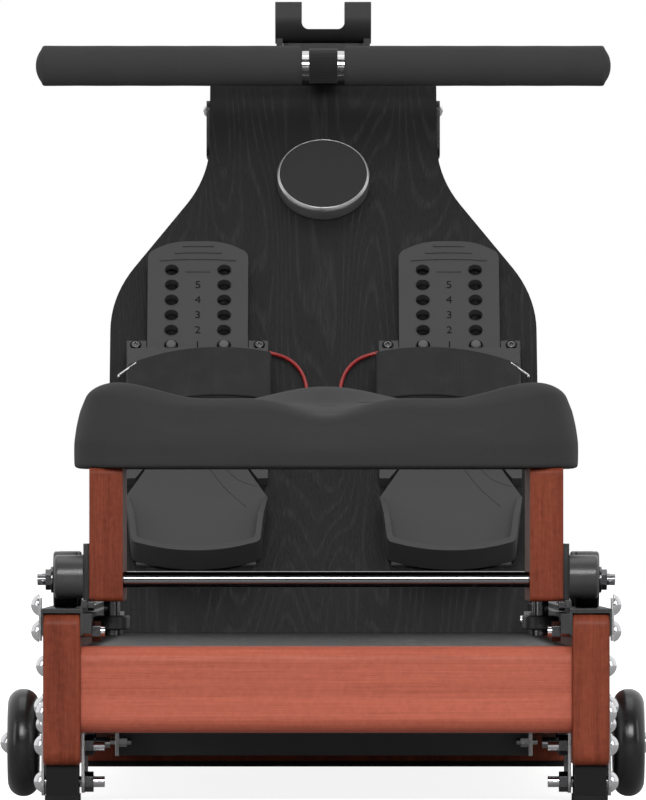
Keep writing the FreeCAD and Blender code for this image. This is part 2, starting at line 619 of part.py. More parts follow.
def small_screws():
    """Small dome screws: strut ends beside the board, neck plates and cradle legs."""
    screws = []
    neck_face = "(dims.neck_half + dims.neck_plate + dims.close_gap)"
    leg_face = "(dims.guide_half + dims.part_gap + dims.leg_thickness)"
    for _, side in SIDES:
        screws.append(dome_bolt(side, RAIL_IN, "dims.strut_high_y", "dims.strut_high_z", "dims.strut_stud",
                                dome="dims.strut_dome", rise="dims.strut_dome"))
        for y, z in NECK_BORES:
            screws.append(dome_bolt(side, neck_face, y, z, "dims.neck_stud", dome="dims.neck_dome",
                                    rise="dims.neck_dome_rise"))
        screws.append(dome_bolt(side, leg_face, "dims.cradle_y", "dims.leg_screw_z", "dims.leg_stud",
                                dome="dims.leg_dome", rise="dims.leg_dome_rise"))
    keep(group(screws), "small_screws")


def board_boss(side, half_width, low, high, bottom, top):
    """Box in the board frame, centred on one foot."""
    centre = side * size("foot_x")
    return Part.makeBox(2 * half_width, high - low, top - bottom, Vector(centre - half_width, low, bottom))


def foot_bases():
    """Fixed part of each foot rest: a block with a channel for the slider, flared at its lower end."""
    solids = []
    half, low, high = size("base_half"), size("base_low"), size("base_high")
    channel_half, lip, top = size("channel_half"), size("base_lip"), size("channel_top")
    above, beyond = 30, 5
    for _, side in SIDES:
        centre = side * size("foot_x")
        points, radii = mirrored_outline([(half, low), (half, high)], [1, 1])
        block = slab([(x + centre, y) for x, y in points], radii, size("base_floor_gap"), top)
        rest = board_boss(side, half - size("rest_inset"), size("rest_low"), size("rest_high"), top,
                          size("rest_top"))
        block = block.fuse(rest)
        channel = board_boss(side, channel_half, low - beyond, high + beyond, lip, top - 0.3)
        opening = board_boss(side, channel_half, low - beyond, size("rest_low"), lip, above)
        upper = board_boss(side, channel_half, size("rest_high") + 2, high + beyond, lip, above)
        flare = [(size("base_mouth"), low - 1), (channel_half - 0.5, low + size("base_cut"))]
        points, radii = mirrored_outline(flare, [0, 0])
        mouth = slab([(x + centre, y) for x, y in points], radii, lip, above)
        block = block.cut(channel).cut(opening).cut(upper).cut(mouth)
        solids.append(block.removeSplitter())
    shape_feature("foot_bases", Part.makeCompound(solids), BOARD)


def foot_straps():
    """Wide band arched over each foot rest, high at its inner side and low at its outer one."""
    solids = []
    thickness = size("strap_thickness")
    for _, side in SIDES:
        outer = strap_profile(side, thickness)
        inner = strap_profile(side, 0)
        band = outer.cut(inner)
        band.Placement = Placement(Vector(side * size("foot_x"), size("strap_low") + size("strap_width"), 0),
                                   Rotation(X_AXIS, 90))
        solids.append(band.extrude(Vector(0, -size("strap_width"), 0)))
    shape_feature("foot_straps", Part.makeCompound(solids), BOARD)


def strap_profile(side, grow):
    """Face under the strap's arch, grown by its thickness or not."""
    inner_x = -side * (size("base_half") + 0.4 + grow)
    outer_x = side * (size("strap_outer_half") - size("strap_thickness") + grow)
    sunk = 0 if grow else 1
    floor_in, floor_out = 0.4 - sunk, size("rest_top") + 0.5 - sunk
    drop = size("strap_thickness") - grow
    spring_in = Vector(inner_x, size("strap_inner_side") - drop, 0)
    spring_out = Vector(outer_x, size("strap_outer_side") - drop, 0)
    crown = Vector(-side * size("strap_crown_x"), size("strap_crown") - drop, 0)
    arch = Part.Arc(spring_in, crown, spring_out).toShape()
    foot_out = Vector(outer_x, floor_out, 0)
    foot_in = Vector(inner_x, floor_in, 0)
    edges = [Part.LineSegment(foot_in, spring_in).toShape(), arch]
    edges.append(Part.LineSegment(spring_out, foot_out).toShape())
    edges.append(Part.LineSegment(foot_out, foot_in).toShape())
    return Part.Face(Part.Wire(edges))


def foot_sliders():
    """Adjustable heel rest: a plate with two rows of holes and a cupped heel at its lower end."""
    bottom = size("slider_bottom")
    top = bottom + size("slider_thickness")
    half, wall = size("slider_half"), size("heel_wall")
    heel = [(size("heel_crown_half"), size("slider_low")), (size("heel_end_half"), size("heel_end")),
            (size("heel_half"), size("heel_shoulder"))]
    heel_radii = [size("crown_round"), size("heel_corner"), size("heel_shoulder_round")]
    upper_radii = [size("heel_neck_round"), size("slider_round"), size("slider_crown_round")]
    upper = [(half, size("heel_neck")), (half, size("slider_corner")),
             (size("slider_crown_half"), size("slider_high"))]
    for name, side in SIDES:
        centre = side * size("foot_x")
        points, radii = mirrored_outline(heel + upper, heel_radii + upper_radii)
        body = slab([(x + centre, y) for x, y in points], radii, bottom, top)
        points, radii = mirrored_outline(heel, heel_radii[:2] + [0])
        cup = slab([(x + centre, y) for x, y in points], radii, top - 0.5, size("heel_top"))
        hollow = [(size("heel_crown_half"), size("slider_low") + wall),
                  (size("heel_end_half") - wall, size("heel_end") + wall),
                  (size("heel_half") - wall, size("heel_shoulder") + 1)]
        hollow_radii = [size("crown_inner_round"), size("heel_corner") - wall / 2, 0]
        points, radii = mirrored_outline(hollow, hollow_radii)
        hollow = slab([(x + centre, y) for x, y in points], radii, top - 0.6, size("heel_top") + 5)
        cup = cup.cut(hollow).cut(heel_ramp(centre, top))
        body = body.fuse(cup)
        for step in range(6):
            hole_high = size("hole_first") + step * size("hole_pitch")
            for column in (-1, 1):
                spot = Vector(centre + column * size("hole_x"), hole_high, 0)
                body = body.cut(Part.makeCylinder(size("hole_radius"), size("heel_top"), spot))
        shape_feature(f"{name}_foot_slider", body.removeSplitter(), BOARD)


def heel_ramp(centre, top):
    """Wedge over the cup's side walls, which run down to the plate towards the instep."""
    high = size("heel_shoulder") + 2
    low = high - size("heel_ramp")
    corners = [Vector(0, high + 10, top), Vector(0, high, top), Vector(0, low, size("heel_top")),
               Vector(0, low, size("heel_top") + 10), Vector(0, high + 10, size("heel_top") + 10)]
    face = Part.Face(Part.makePolygon(corners + corners[:1]))
    face.translate(Vector(centre - 2 * size("heel_half"), 0, 0))
    return face.extrude(Vector(4 * size("heel_half"), 0, 0))


def cord_wire(points):
    """Path of straight runs joined by tangent arcs, as large as the runs allow."""
    edges = []
    radii = []
    start = points[0]
    for before, here, after in zip(points, points[1:], points[2:]):
        back = before - here
        ahead = after - here
        shorter = min(back.Length, ahead.Length)
        turn = math.pi - back.getAngle(ahead)
        setback = 0.45 * shorter
        radius = setback / math.tan(turn / 2)
        back.normalize()
        ahead.normalize()
        entry = here + back * setback
        leave = here + ahead * setback
        bisector = (back + ahead).normalize()
        middle = here + bisector * (radius / math.cos(turn / 2) - radius)
        edges.append(Part.LineSegment(start, entry).toShape())
        edges.append(Part.Arc(entry, middle, leave).toShape())
        radii.append(round(radius, 1))
        start = leave
    edges.append(Part.LineSegment(start, points[-1]).toShape())
    return Part.Wire(edges), radii


# Loop of cord from the upper inner corner of a foot rest, out over the board and back below:
# distance from the machine's middle, and height up the board.
PULL_CORD_ROUTE = ((46.8, 300), (36, 297), (26, 290), (18.5, 279), (14.5, 265), (14, 250), (18, 236),
                   (26, 224), (36, 216), (46.8, 212))


def pull_cords():
    """Thin cord loops that lie on the board beside each strap."""
    radius = size("cord_radius")
    for name, side in SIDES:
        points = [Vector(side * x, y, radius + 0.35) for x, y in PULL_CORD_ROUTE]
        path, radii = cord_wire(points)
        circle = Part.makeCircle(radius, points[0], points[1] - points[0])
        tube = path.makePipeShell([Part.Wire([circle])], True, False)
        share = tube.Volume / (math.pi * radius * radius * path.Length)
        print(f"{name} pull cord: length {path.Length:.0f}, radii {radii}, volume share {share:.3f}")
        shape_feature(f"{name}_pull_cord", tube, BOARD)


def dial():
    """Resistance dial on the board's face."""
    radius, height, edge = size("dial_radius"), size("dial_height"), size("dial_round")
    stem, stem_end = size("stem_radius"), -size("board_thickness") - 2
    profile = [(stem_end, 0), (stem_end, stem), (0.3, stem), (0.3, radius - edge), (0.3 + edge, radius),
               (height - edge, radius), (height, radius - edge), (height, 0)]
    upright = Placement(Vector(0, size("dial_y"), 0), Rotation(Y_AXIS, -90))
    turned_body("resistance_dial", profile, BOARD.multiply(upright))


def housing_outline(inset):
    """Side outline of the drive housing in (y, z), moved inwards by inset."""
    incline = math.radians(size("incline"))
    clear = size("board_thickness") + 3 + inset
    rear = size("board_y") + clear / math.sin(incline)
    low, high = size("cover_bottom") + inset, size("cover_top") - inset
    front = size("cover_front") - inset
    slope = 1 / math.tan(incline)
    rise = size("board_z")
    return [(rear + (low - rise) * slope, low), (front, low), (front, size("cover_front_high")),
            (size("cover_top_front") - inset, high),
            (rear + (high - rise) * slope, high)]


def across(points, radii, start, end):
    """Solid between two x values over an outline given in (y, z)."""
    solid = slab(points, radii, start, end)
    solid.Placement = Placement(Vector(), ON_ITS_SIDE)
    return solid


def drive_covers():
    """Two half shells that meet in the middle plane, with a slot for the strap at the top."""
    half, wall = size("cover_half"), size("cover_wall")
    radii = [6, 14, 60, 16, 4]
    inner_radii = [4, 11, 57, 13, 2]
    slot_half = size("slot_half")
    slot_corner = Vector(-slot_half, size("slot_rear_y"), size("cover_top") - 3 * wall)
    slot = Part.makeBox(2 * slot_half, size("slot_length"), 6 * wall, slot_corner)
    for name, side in SIDES:
        outer_span = sorted((side * size("cover_half_gap"), side * half))
        inner_span = sorted((-side * wall, side * (half - wall)))
        shell = across(housing_outline(0), radii, *outer_span)
        hollow = across(housing_outline(wall), inner_radii, *inner_span)
        shape_feature(f"{name}_drive_cover", shell.cut(hollow).cut(slot))


def neck_plates():
    """Steel plates on both sides of the housing, behind the board's neck."""
    low, high, thickness = size("neck_plate_low"), size("neck_plate_high"), size("neck_plate")
    rear, front = size("neck_plate_rear"), size("neck_plate_front")
    plates = []
    outline_points = [(rear, low), (front, low), (front, high), (rear, high)]
    for _, side in SIDES:
        start = size("neck_half") + size("close_gap")
        span = (start, start + thickness) if side > 0 else (-start - thickness, -start)
        plate = across(outline_points, [size("neck_plate_round")] * 4, *span)
        for y, z in NECK_BORES:
            reach = size("bore_reach")
            bore = Part.makeCylinder(BOLT_BORE, 2 * reach, Vector(-reach, value(y), value(z)), X_AXIS)
            plate = plate.cut(bore)
        plates.append(plate)
    shape_feature("neck_plates", Part.makeCompound(plates))


def flywheel():
    """Flywheel with its small belt pulley on one hub."""
    radius, width, start = size("fly_radius"), size("fly_width"), size("fly_x")
    bore = AXLE_BORE
    belt_start = size("pulley_x")
    belt_end = belt_start + size("belt_width")
    pulley = size("fly_pulley_radius") - size("belt_thickness")
    web, hub, hub_end, neck = width * 0.35, 22, start - 6, 12
    rim_inside, web_outside = radius - 20, radius - 26
    flange, flange_width = pulley + 4, 2
    profile = [(hub_end, bore), (hub_end, hub), (start + web, hub), (start + web, web_outside),
               (start, rim_inside), (start, radius), (start + width, radius),
               (start + width, rim_inside), (start + width - web, web_outside),
               (start + width - web, neck), (belt_start - flange_width, neck),
               (belt_start - flange_width, flange), (belt_start, flange),
               (belt_start, pulley), (belt_end, pulley), (belt_end, flange),
               (belt_end + flange_width, flange), (belt_end + flange_width, bore)]
    turned_body("flywheel", profile, Placement(Vector(0, size("fly_y"), size("fly_z")), Rotation()))


def strap_drum():
    """Drum that winds the pull strap, with the large belt pulley beside it."""
    bore = AXLE_BORE
    half = size("drum_half")
    belt_start = size("pulley_x")
    belt_end = belt_start + size("belt_width")
    pulley = size("drum_pulley_radius") - size("belt_thickness")
    drum, flange = size("drum_radius"), size("drum_flange")
    profile = [(-half - 2, bore), (-half - 2, flange), (-half, flange), (-half, drum), (half, drum),
               (half, flange), (half + 2, flange), (half + 2, 20), (belt_start, 20), (belt_start, pulley),
               (belt_end, pulley), (belt_end, bore)]
    turned_body("strap_drum", profile, Placement(Vector(0, size("drum_y"), size("drum_z")), Rotation()))


def drive_belt():
    """Belt round the drum's pulley and the flywheel's pulley, a hair clear of both."""
    thickness, gap = size("belt_thickness"), 0.25
    drum = Vector(size("drum_y"), size("drum_z"), 0)
    fly = Vector(size("fly_y"), size("fly_z"), 0)
    large = size("drum_pulley_radius") - thickness + gap
    small = size("fly_pulley_radius") - thickness + gap
    loops = [belt_face(drum, fly, large + grow, small + grow) for grow in (0, thickness)]
    ring = loops[1].cut(loops[0])
    ring.translate(Vector(0, 0, size("pulley_x") + 0.4))
    belt = ring.extrude(Vector(0, 0, size("belt_width") - 0.8))
    belt.Placement = Placement(Vector(), ON_ITS_SIDE)
    shape_feature("drive_belt", belt)


def belt_face(first, second, first_radius, second_radius):
    """Face inside a taut loop round two circles."""
    span = second - first
    tilt = math.acos((first_radius - second_radius) / span.Length)
    heading = math.atan2(span.y, span.x)
    touch = []
    for sign in (1, -1):
        angle = heading + sign * tilt
        out = Vector(math.cos(angle), math.sin(angle), 0)
        touch.append((first + out * first_radius, second + out * second_radius))
    ahead = Vector(math.cos(heading), math.sin(heading), 0)
    edges = [Part.Arc(touch[0][0], first - ahead * first_radius, touch[1][0]).toShape(),
             Part.LineSegment(touch[1][0], touch[1][1]).toShape(),
             Part.Arc(touch[1][1], second + ahead * second_radius, touch[0][1]).toShape(),
             Part.LineSegment(touch[0][1], touch[0][0]).toShape()]
    return Part.Face(Part.Wire(edges))


def drive_axles():
    """Steel axles held between the covers: flywheel, drum, strap roller and magnet bracket."""
    length = "2 * (dims.cover_half - dims.cover_wall - dims.close_gap)"
    start = "-(dims.cover_half - dims.cover_wall - dims.close_gap)"
    axles = [rod("dims.axle_radius", length, (start, "dims.fly_y", "dims.fly_z")),
             rod("dims.axle_radius", length, (start, "dims.drum_y", "dims.drum_z")),
             rod("dims.bolt_radius", length, (start, "dims.bracket_pivot_y", "dims.bracket_pivot_z"))]
    pin_half = "(dims.guide_half - dims.guide_wall - dims.close_gap)"
    pin_start = (f"-{pin_half}", "dims.roller_y", "dims.roller_z")
    axles.append(rod("dims.bolt_radius", f"2 * {pin_half}", pin_start))
    keep(group(axles), "drive_axles")


def magnet_bracket():
    """Swinging arm whose two cheeks of magnets straddle the flywheel's rim."""
    pivot = Vector(size("bracket_pivot_y"), size("bracket_pivot_z"), 0)
    inward = (Vector(size("fly_y"), size("fly_z"), 0) - pivot).normalize()
    sideways = Vector(-inward.y, inward.x, 0)
    hub, reach, half = size("bracket_hub"), size("magnet_reach"), size("magnet_half")
    cheek, gap = size("magnet_cheek"), size("fly_width") / 2 + size("magnet_gap")
    middle = size("fly_x") + size("fly_width") / 2
    hub_start = Vector(middle - gap - cheek, pivot.x, pivot.y)
    bracket = Part.makeCylinder(hub, 2 * (gap + cheek), hub_start, X_AXIS)
    corners = [(-hub, hub * 0.6), (-hub, -hub * 0.6), (reach * 0.5, -half), (reach, -half), (reach, half),
               (reach * 0.5, half)]
    arm = [pivot + inward * ahead + sideways * aside for ahead, aside in corners]
    arm_points = [(point.x, point.y) for point in arm]
    for sign in (-1, 1):
        start = middle + sign * gap
        bracket = bracket.fuse(across(arm_points, [3] * 6, *sorted((start, start + sign * cheek))))
    far = size("bore_reach")
    bore = Part.makeCylinder(BOLT_BORE, 2 * far, Vector(-far, pivot.x, pivot.y), X_AXIS)
    shape_feature("magnet_bracket", bracket.cut(bore).removeSplitter())


def return_spring():
    """Flat spiral spring beside the drum that winds the strap back in."""
    pitch, strip = size("spring_pitch"), size("spring_strip")
    radius = size("spring_inner")
    inner_edges = []
    outer_edges = []
    for number in range(10):
        sign = 1 if number % 2 == 0 else -1
        centre = Vector(0 if sign > 0 else -pitch / 2, 0, 0)
        for edges, reach in ((inner_edges, radius), (outer_edges, radius + strip)):
            start = centre + Vector(-sign * reach, 0, 0)
            middle = centre + Vector(0, sign * reach, 0)
            end = centre + Vector(sign * reach, 0, 0)
            edges.append(Part.Arc(start, middle, end).toShape())
        radius += pitch / 2
    first_ends = [edges[0].firstVertex().Point for edges in (inner_edges, outer_edges)]
    last_ends = [edges[-1].lastVertex().Point for edges in (inner_edges, outer_edges)]
    caps = [Part.LineSegment(*ends).toShape() for ends in (first_ends, last_ends)]
    spiral = Part.Face(Part.Wire(Part.__sortEdges__(inner_edges + outer_edges + caps)))
    coil = spiral.extrude(Vector(0, 0, size("spring_width")))
    spot = Vector(size("spring_x"), size("drum_y"), size("drum_z"))
    shape_feature("return_spring", coil, Placement(spot, ON_ITS_SIDE))


def strap_guide():
    """Box on the neck with a window for the strap, and the roller inside it."""
    wall = size("guide_wall")
    half, rear, length = size("guide_half"), size("guide_rear_y"), size("guide_length")
    low, height = size("guide_z"), size("guide_height")
    outer = [(-half, rear), (half, rear), (half, rear + length), (-half, rear + length)]
    casing = slab(outer, [4] * 4, low, low + height)
    inner = [(-half + wall, rear + wall), (half - wall, rear + wall), (half - wall, rear + length - wall),
             (-half + wall, rear + length - wall)]
    casing = casing.cut(slab(inner, [1] * 4, low - 5, low + height - wall))
    window_low = size("handle_z") - 8
    casing = casing.cut(Part.makeBox(36, 20, 16, Vector(-18, rear - 10, window_low)))
    shape_feature("strap_guide", casing)
    start = -size("roller_half")
    end = size("roller_half")
    radius = size("roller_radius")
    profile = [(start, BOLT_BORE), (start, radius + 2), (start + 2, radius), (end - 2, radius),
               (end, radius + 2), (end, BOLT_BORE)]
    turned_body("strap_roller", profile, Placement(Vector(0, size("roller_y"), size("roller_z")), Rotation()))


def handle_cradle():
    """Trough over the guide in which the handle can be parked, notched across for the strap."""
    inner, wall = size("cradle_inner"), size("cradle_wall")
    outer = inner + wall
    half, y, z, top = size("cradle_half"), size("cradle_y"), size("cradle_z"), size("cradle_top")
    shell = Part.makeCylinder(outer, 2 * half, Vector(-half, y, z), X_AXIS)
    shell = shell.fuse(Part.makeBox(2 * half, 2 * outer, top - z, Vector(-half, y - outer, z)))
    hollow = Part.makeCylinder(inner, 2 * half + 20, Vector(-half - 10, y, z), X_AXIS)
    hollow = hollow.fuse(Part.makeBox(2 * half + 20, 2 * inner, 50, Vector(-half - 10, y - inner, z)))
    above = Part.makeBox(200, 100, 50, Vector(-100, y - 50, top))
    shell = shell.cut(hollow).cut(above)
    notch_half = size("notch_half")
    through = 2 * outer
    notch_round = 6
    notch_corner = Vector(-notch_half, y - through, size("notch_z"))
    notch = Part.makeBox(2 * notch_half, 2 * through, 2 * through, notch_corner)
    notch = notch.makeFillet(notch_round, [edge for edge in notch.Edges if along(Y_AXIS)(edge)])
    shell = shell.cut(notch)
    leg, thickness, leg_low = size("leg_width"), size("leg_thickness"), size("leg_low_z")
    guide_half = size("guide_half") + size("part_gap")
    for start in (guide_half, -guide_half - thickness):
        post = Part.makeBox(thickness, leg, z - leg_low, Vector(start, y - leg / 2, leg_low))
        shell = shell.fuse(post.cut(hollow))
    shape_feature("handle_cradle", shell.removeSplitter())


def handle():
    """Chrome tube with two foam grips and the webbing loop of the pull strap in the middle."""
    place_handle = Placement(Vector(0, size("handle_y"), size("handle_z")), Rotation())
    tube, grip = size("tube_radius"), size("grip_radius")
    half = size("handle_half")
    wall = size("tube_wall")
    tube_end = half - size("tube_inset")
    turned_body("handle_tube", [(-tube_end, tube - wall), (-tube_end, tube), (tube_end, tube),
                                (tube_end, tube - wall)], place_handle)
    grips = []
    start, turn = size("grip_start"), size("grip_round")
    for _, side in SIDES:
        span = half - start
        blank = Part.makeCylinder(grip, span, Vector(start if side > 0 else -half, 0, 0), X_AXIS)
        outer_x = side * half
        edges = [edge for edge in blank.Edges if isinstance(edge.Curve, Part.Circle)
                 and abs(edge.Curve.Center.x - outer_x) < 1]
        blank = blank.makeFillet(turn, edges)
        bore_start = start - 1 if side > 0 else -tube_end
        bore = Part.makeCylinder(tube, tube_end - start + 1, Vector(bore_start, 0, 0), X_AXIS)
        grips.append(blank.cut(bore))
    shape_feature("handle_grips", Part.makeCompound(grips), place_handle)
    loop, loop_half = size("loop_radius"), size("loop_half")
    ring = Part.makeCylinder(loop, 2 * loop_half, Vector(-loop_half, 0, 0), X_AXIS)
    tail_height = size("loop_tail")
    tail = Part.makeBox(2 * loop_half, 10, tail_height, Vector(-loop_half, tube, -tail_height / 2))
    bore = Part.makeCylinder(tube, 4 * loop_half, Vector(-2 * loop_half, 0, 0), X_AXIS)
    ring = ring.fuse(tail).cut(bore)
    shape_feature("handle_loop", ring.removeSplitter(), place_handle)


def pull_strap():
    """Webbing from the handle's loop into the guide, up to the top of its roller."""
    rear = "(dims.handle_y + dims.tube_radius + 10)"
    strap = box(("2 * dims.loop_half", f"dims.roller_y - {rear}", "dims.strap_height"),
                ("-dims.loop_half", rear, "dims.handle_z - dims.strap_height / 2"))
    keep(strap, "pull_strap")


def seat_top():
    """Padded seat over a hidden plywood pan."""
    pan = box(("2 * dims.pan_half", "dims.pan_depth", "dims.pan_height"),
              ("-dims.pan_half", "dims.seat_y - dims.pan_depth / 2", "dims.seat_z"))
    keep(pan, "seat_pan")
    blank = box(("2 * dims.seat_half", "dims.seat_depth", "dims.seat_height"),
                ("-dims.seat_half", "dims.seat_y - dims.seat_depth / 2", "dims.seat_z"))
    softened = rounded(blank, "seat_round", along(Z_AXIS))
    keep(cut(softened, [pan]), "seat_cushion")


def seat_carriage():
    """Wooden blocks under the seat, with their steel side plates, axles, guards and roller bolts."""
    axle_bores = [(f"dims.axle_{end}_y", "dims.axle_z") for end in ("rear", "front")]
    roller_spots = [f"dims.guide_{end}_axis" for end in ("rear", "front")]
    blocks = []
    plates = []
    bolts = []
    for _, side in SIDES:
        block = box(("dims.block_width", "dims.block_depth", "dims.seat_z - dims.block_z"),
                    (side_start(side, "dims.block_x", "dims.block_width"),
                     "dims.seat_y - dims.block_depth / 2", "dims.block_z"))
        shaped = rounded(block, "block_bevel", along(X_AXIS))
        bores = []
        for y in roller_spots:
            start = (f"{side} * dims.guide_x", y, "dims.block_z - dims.roller_bore_lead")
            depth = "dims.roller_bore_depth + dims.roller_bore_lead"
            bores.append(rod("dims.bolt_radius + dims.fit_gap", depth, start, "Z"))
        blocks.append(drill(cut(shaped, bores), axle_bores))
        plate_in = "(dims.block_x + dims.block_width)"
        plate_depth = "(dims.block_depth - 2 * dims.side_plate_inset)"
        plate = box(("dims.side_plate", plate_depth, "dims.side_plate_height"),
                    (side_start(side, plate_in, "dims.side_plate"),
                     f"dims.seat_y - {plate_depth} / 2", "dims.side_plate_z"))
        plates.append(drill(plate, axle_bores))
        for y in roller_spots:
            x = f"{side} * dims.guide_x"
            head = rod("dims.button_radius", "dims.button_height",
                       (x, y, "dims.guide_low_z - dims.part_gap - dims.button_height"), "Z")
            low = "(dims.guide_low_z - dims.part_gap)"
            reach = f"dims.block_z + dims.roller_bolt_depth - {low}"
            shank = rod("dims.bolt_radius", reach, (x, y, low), "Z")
            top = "(dims.guide_low_z + dims.guide_thickness + dims.part_gap)"
            spacer = rod("dims.roller_spacer_radius", f"dims.block_z - {top} - dims.close_gap",
                         (x, y, top), "Z")
            bolts.append(fuse([head, shank, spacer]))
    keep(group(blocks), "seat_blocks")
    keep(group(plates), "seat_side_plates")
    keep(group(bolts), "roller_bolts")


def seat_axles():
    """Chrome rod between the blocks on each threaded axle, and the washers and nuts outside."""
    axles = []
    nuts = []
    for end in ("rear", "front"):
        y = f"dims.axle_{end}_y"
        shank = rod("dims.bolt_radius", "2 * dims.axle_half", ("-dims.axle_half", y, "dims.axle_z"))
        sleeve = rod("dims.seat_axle_radius", "2 * dims.block_x", ("-dims.block_x", y, "dims.axle_z"))
        axles.append(fuse([shank, sleeve]))
        for _, side in SIDES:
            washer_in = "(dims.seat_wheel_x + dims.seat_wheel_width + dims.wheel_gap)"
            washer = rod("dims.washer_radius", "dims.washer_height",
                         (side_start(side, washer_in, "dims.washer_height"), y, "dims.axle_z"))
            nut_in = f"({washer_in} + dims.washer_height)"
            nut = prism("dims.nut_circle", "dims.axle_nut_height",
                        (side_start(side, nut_in, "dims.axle_nut_height"), y, "dims.axle_z"))
            nuts.append(drill(fuse([washer, nut]), [(y, "dims.axle_z")]))
            spacer_in = "(dims.block_x + dims.block_width + dims.side_plate)"
            spacer_length = f"(dims.seat_wheel_x - dims.wheel_gap - {spacer_in})"
            spacer = rod("dims.axle_spacer_radius", spacer_length,
                         (side_start(side, spacer_in, spacer_length), y, "dims.axle_z"))
            nuts.append(drill(spacer, [(y, "dims.axle_z")]))
    keep(group(axles), "seat_axles")
    keep(group(nuts), "axle_nuts")


def wheel_guards():
    """Rounded guards at both ends of the carriage, in front of the wheels, hollowed to clear them."""
    guards = []
    inner = "(dims.block_x + dims.block_width + dims.side_plate)"
    for _, side in SIDES:
        for end, step in (("rear", "-"), ("front", "+")):
            y = f"dims.axle_{end}_y"
            blank = rod("dims.guard_radius", "dims.guard_length",
                        (side_start(side, inner, "dims.guard_length"), f"{y} {step} dims.guard_offset",
                         "dims.axle_z + dims.guard_rise"))
            outer_x = side * value("block_x + block_width + side_plate + guard_length")
            shaped = rounded(blank, "guard_round", lambda edge, limit=outer_x: isinstance(
                edge.Curve, Part.Circle) and abs(edge.Curve.Center.x - limit) < 1)
            clearance = rod("dims.guard_gap_radius", "60", (side_start(side, inner, "60"), y, "dims.axle_z"))
            guards.append(cut(shaped, [clearance]))
    keep(group(guards), "wheel_guards")


def seat_wheels():
    """Pair of wheels on each axle, which roll on the tracks."""
    start, width, radius = size("seat_wheel_x"), size("seat_wheel_width"), size("seat_wheel_radius")
    reach = size("bore_reach")
    end = start + width
    bevel = 1.2
    for name in ("rear", "front"):
        axle = Placement(Vector(0, size(f"axle_{name}_y"), size("axle_z")), Rotation())
        wheels = []
        for _, side in SIDES:
            wheel = Part.makeCylinder(radius, width, Vector(start if side > 0 else -end, 0, 0), X_AXIS)
            rims = [edge for edge in wheel.Edges if isinstance(edge.Curve, Part.Circle)]
            wheel = wheel.makeChamfer(bevel, rims)
            wheels.append(wheel.cut(Part.makeCylinder(BOLT_BORE, 2 * reach, Vector(-reach, 0, 0), X_AXIS)))
        shape_feature(f"{name}_seat_wheels", Part.makeCompound(wheels), axle)


def guide_rollers():
    """Rollers on upright bolts, which run along the inner guide strips."""
    radius, thickness = size("guide_radius"), size("guide_thickness")
    bevel = 0.8
    profile = [(0, BOLT_BORE), (0, radius - bevel), (bevel, radius), (thickness - bevel, radius),
               (thickness, radius - bevel), (thickness, BOLT_BORE)]
    upright = Rotation(Y_AXIS, -90)
    for end in ("rear", "front"):
        for name, side in SIDES:
            spot = Vector(side * size("guide_x"), size(f"guide_{end}_axis"), size("guide_low_z"))
            turned_body(f"{end}_{name}_guide_roller", profile, Placement(spot, upright))


def transport_wheels():
    """Rubber-tyred wheels outside the rails at the rear end."""
    radius, width, turn = size("wheel_radius"), size("wheel_width"), size("wheel_round")
    start, hub_radius = size("wheel_x"), size("wheel_hub_radius")
    for name, side in SIDES:
        spot = Vector(start if side > 0 else -start - width, size("wheel_y"), size("wheel_z"))
        wheel = Part.makeCylinder(radius, width, Vector(), X_AXIS)
        wheel = wheel.makeFillet(turn, [edge for edge in wheel.Edges if isinstance(edge.Curve, Part.Circle)])
        for face_x in (-1, width - 3):
            dish = Part.makeCylinder(hub_radius + 8, 4, Vector(face_x, 0, 0), X_AXIS)
            hub = Part.makeCylinder(hub_radius, 4, Vector(face_x, 0, 0), X_AXIS)
            wheel = wheel.cut(dish.cut(hub))
        wheel = wheel.cut(Part.makeCylinder(BOLT_BORE, 2 * width, Vector(-width / 2, 0, 0), X_AXIS))
        shape_feature(f"{name}_transport_wheel", wheel, Placement(spot, Rotation()))


side_rails()
crossbeams()
rail_tracks()
seat_stops()
side_bolts()
rear_feet()
foot_pads()
foot_bars()
board_foot_panel()
deck_and_base()
foot_board()
board_struts()
small_screws()
foot_bases()
foot_straps()
foot_sliders()
pull_cords()
dial()
drive_covers()
neck_plates()
flywheel()
strap_drum()
drive_belt()
drive_axles()
magnet_bracket()
return_spring()
strap_guide()
handle_cradle()
handle()
pull_strap()
seat_top()
seat_carriage()
seat_axles()
wheel_guards()
seat_wheels()
guide_rollers()
transport_wheels()

doc.recompute()
failed = [item.Name for item in doc.Objects if "Invalid" in item.State or "Error" in item.State]
broken = [node.Label for node in nodes if node.Shape.isNull() or not node.Shape.isValid()]
if failed or broken:
    raise RuntimeError(f"failed features {failed}, broken sub-parts {broken}")

os.makedirs("parts", exist_ok=True)
for node in nodes:
    node.Shape.exportStep(f"parts/{node.Label}.step")
print(f"{len(nodes)} sub-parts written")
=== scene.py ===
import json
import math

import bmesh
import bpy
import numpy as np
from mathutils import Matrix, Vector


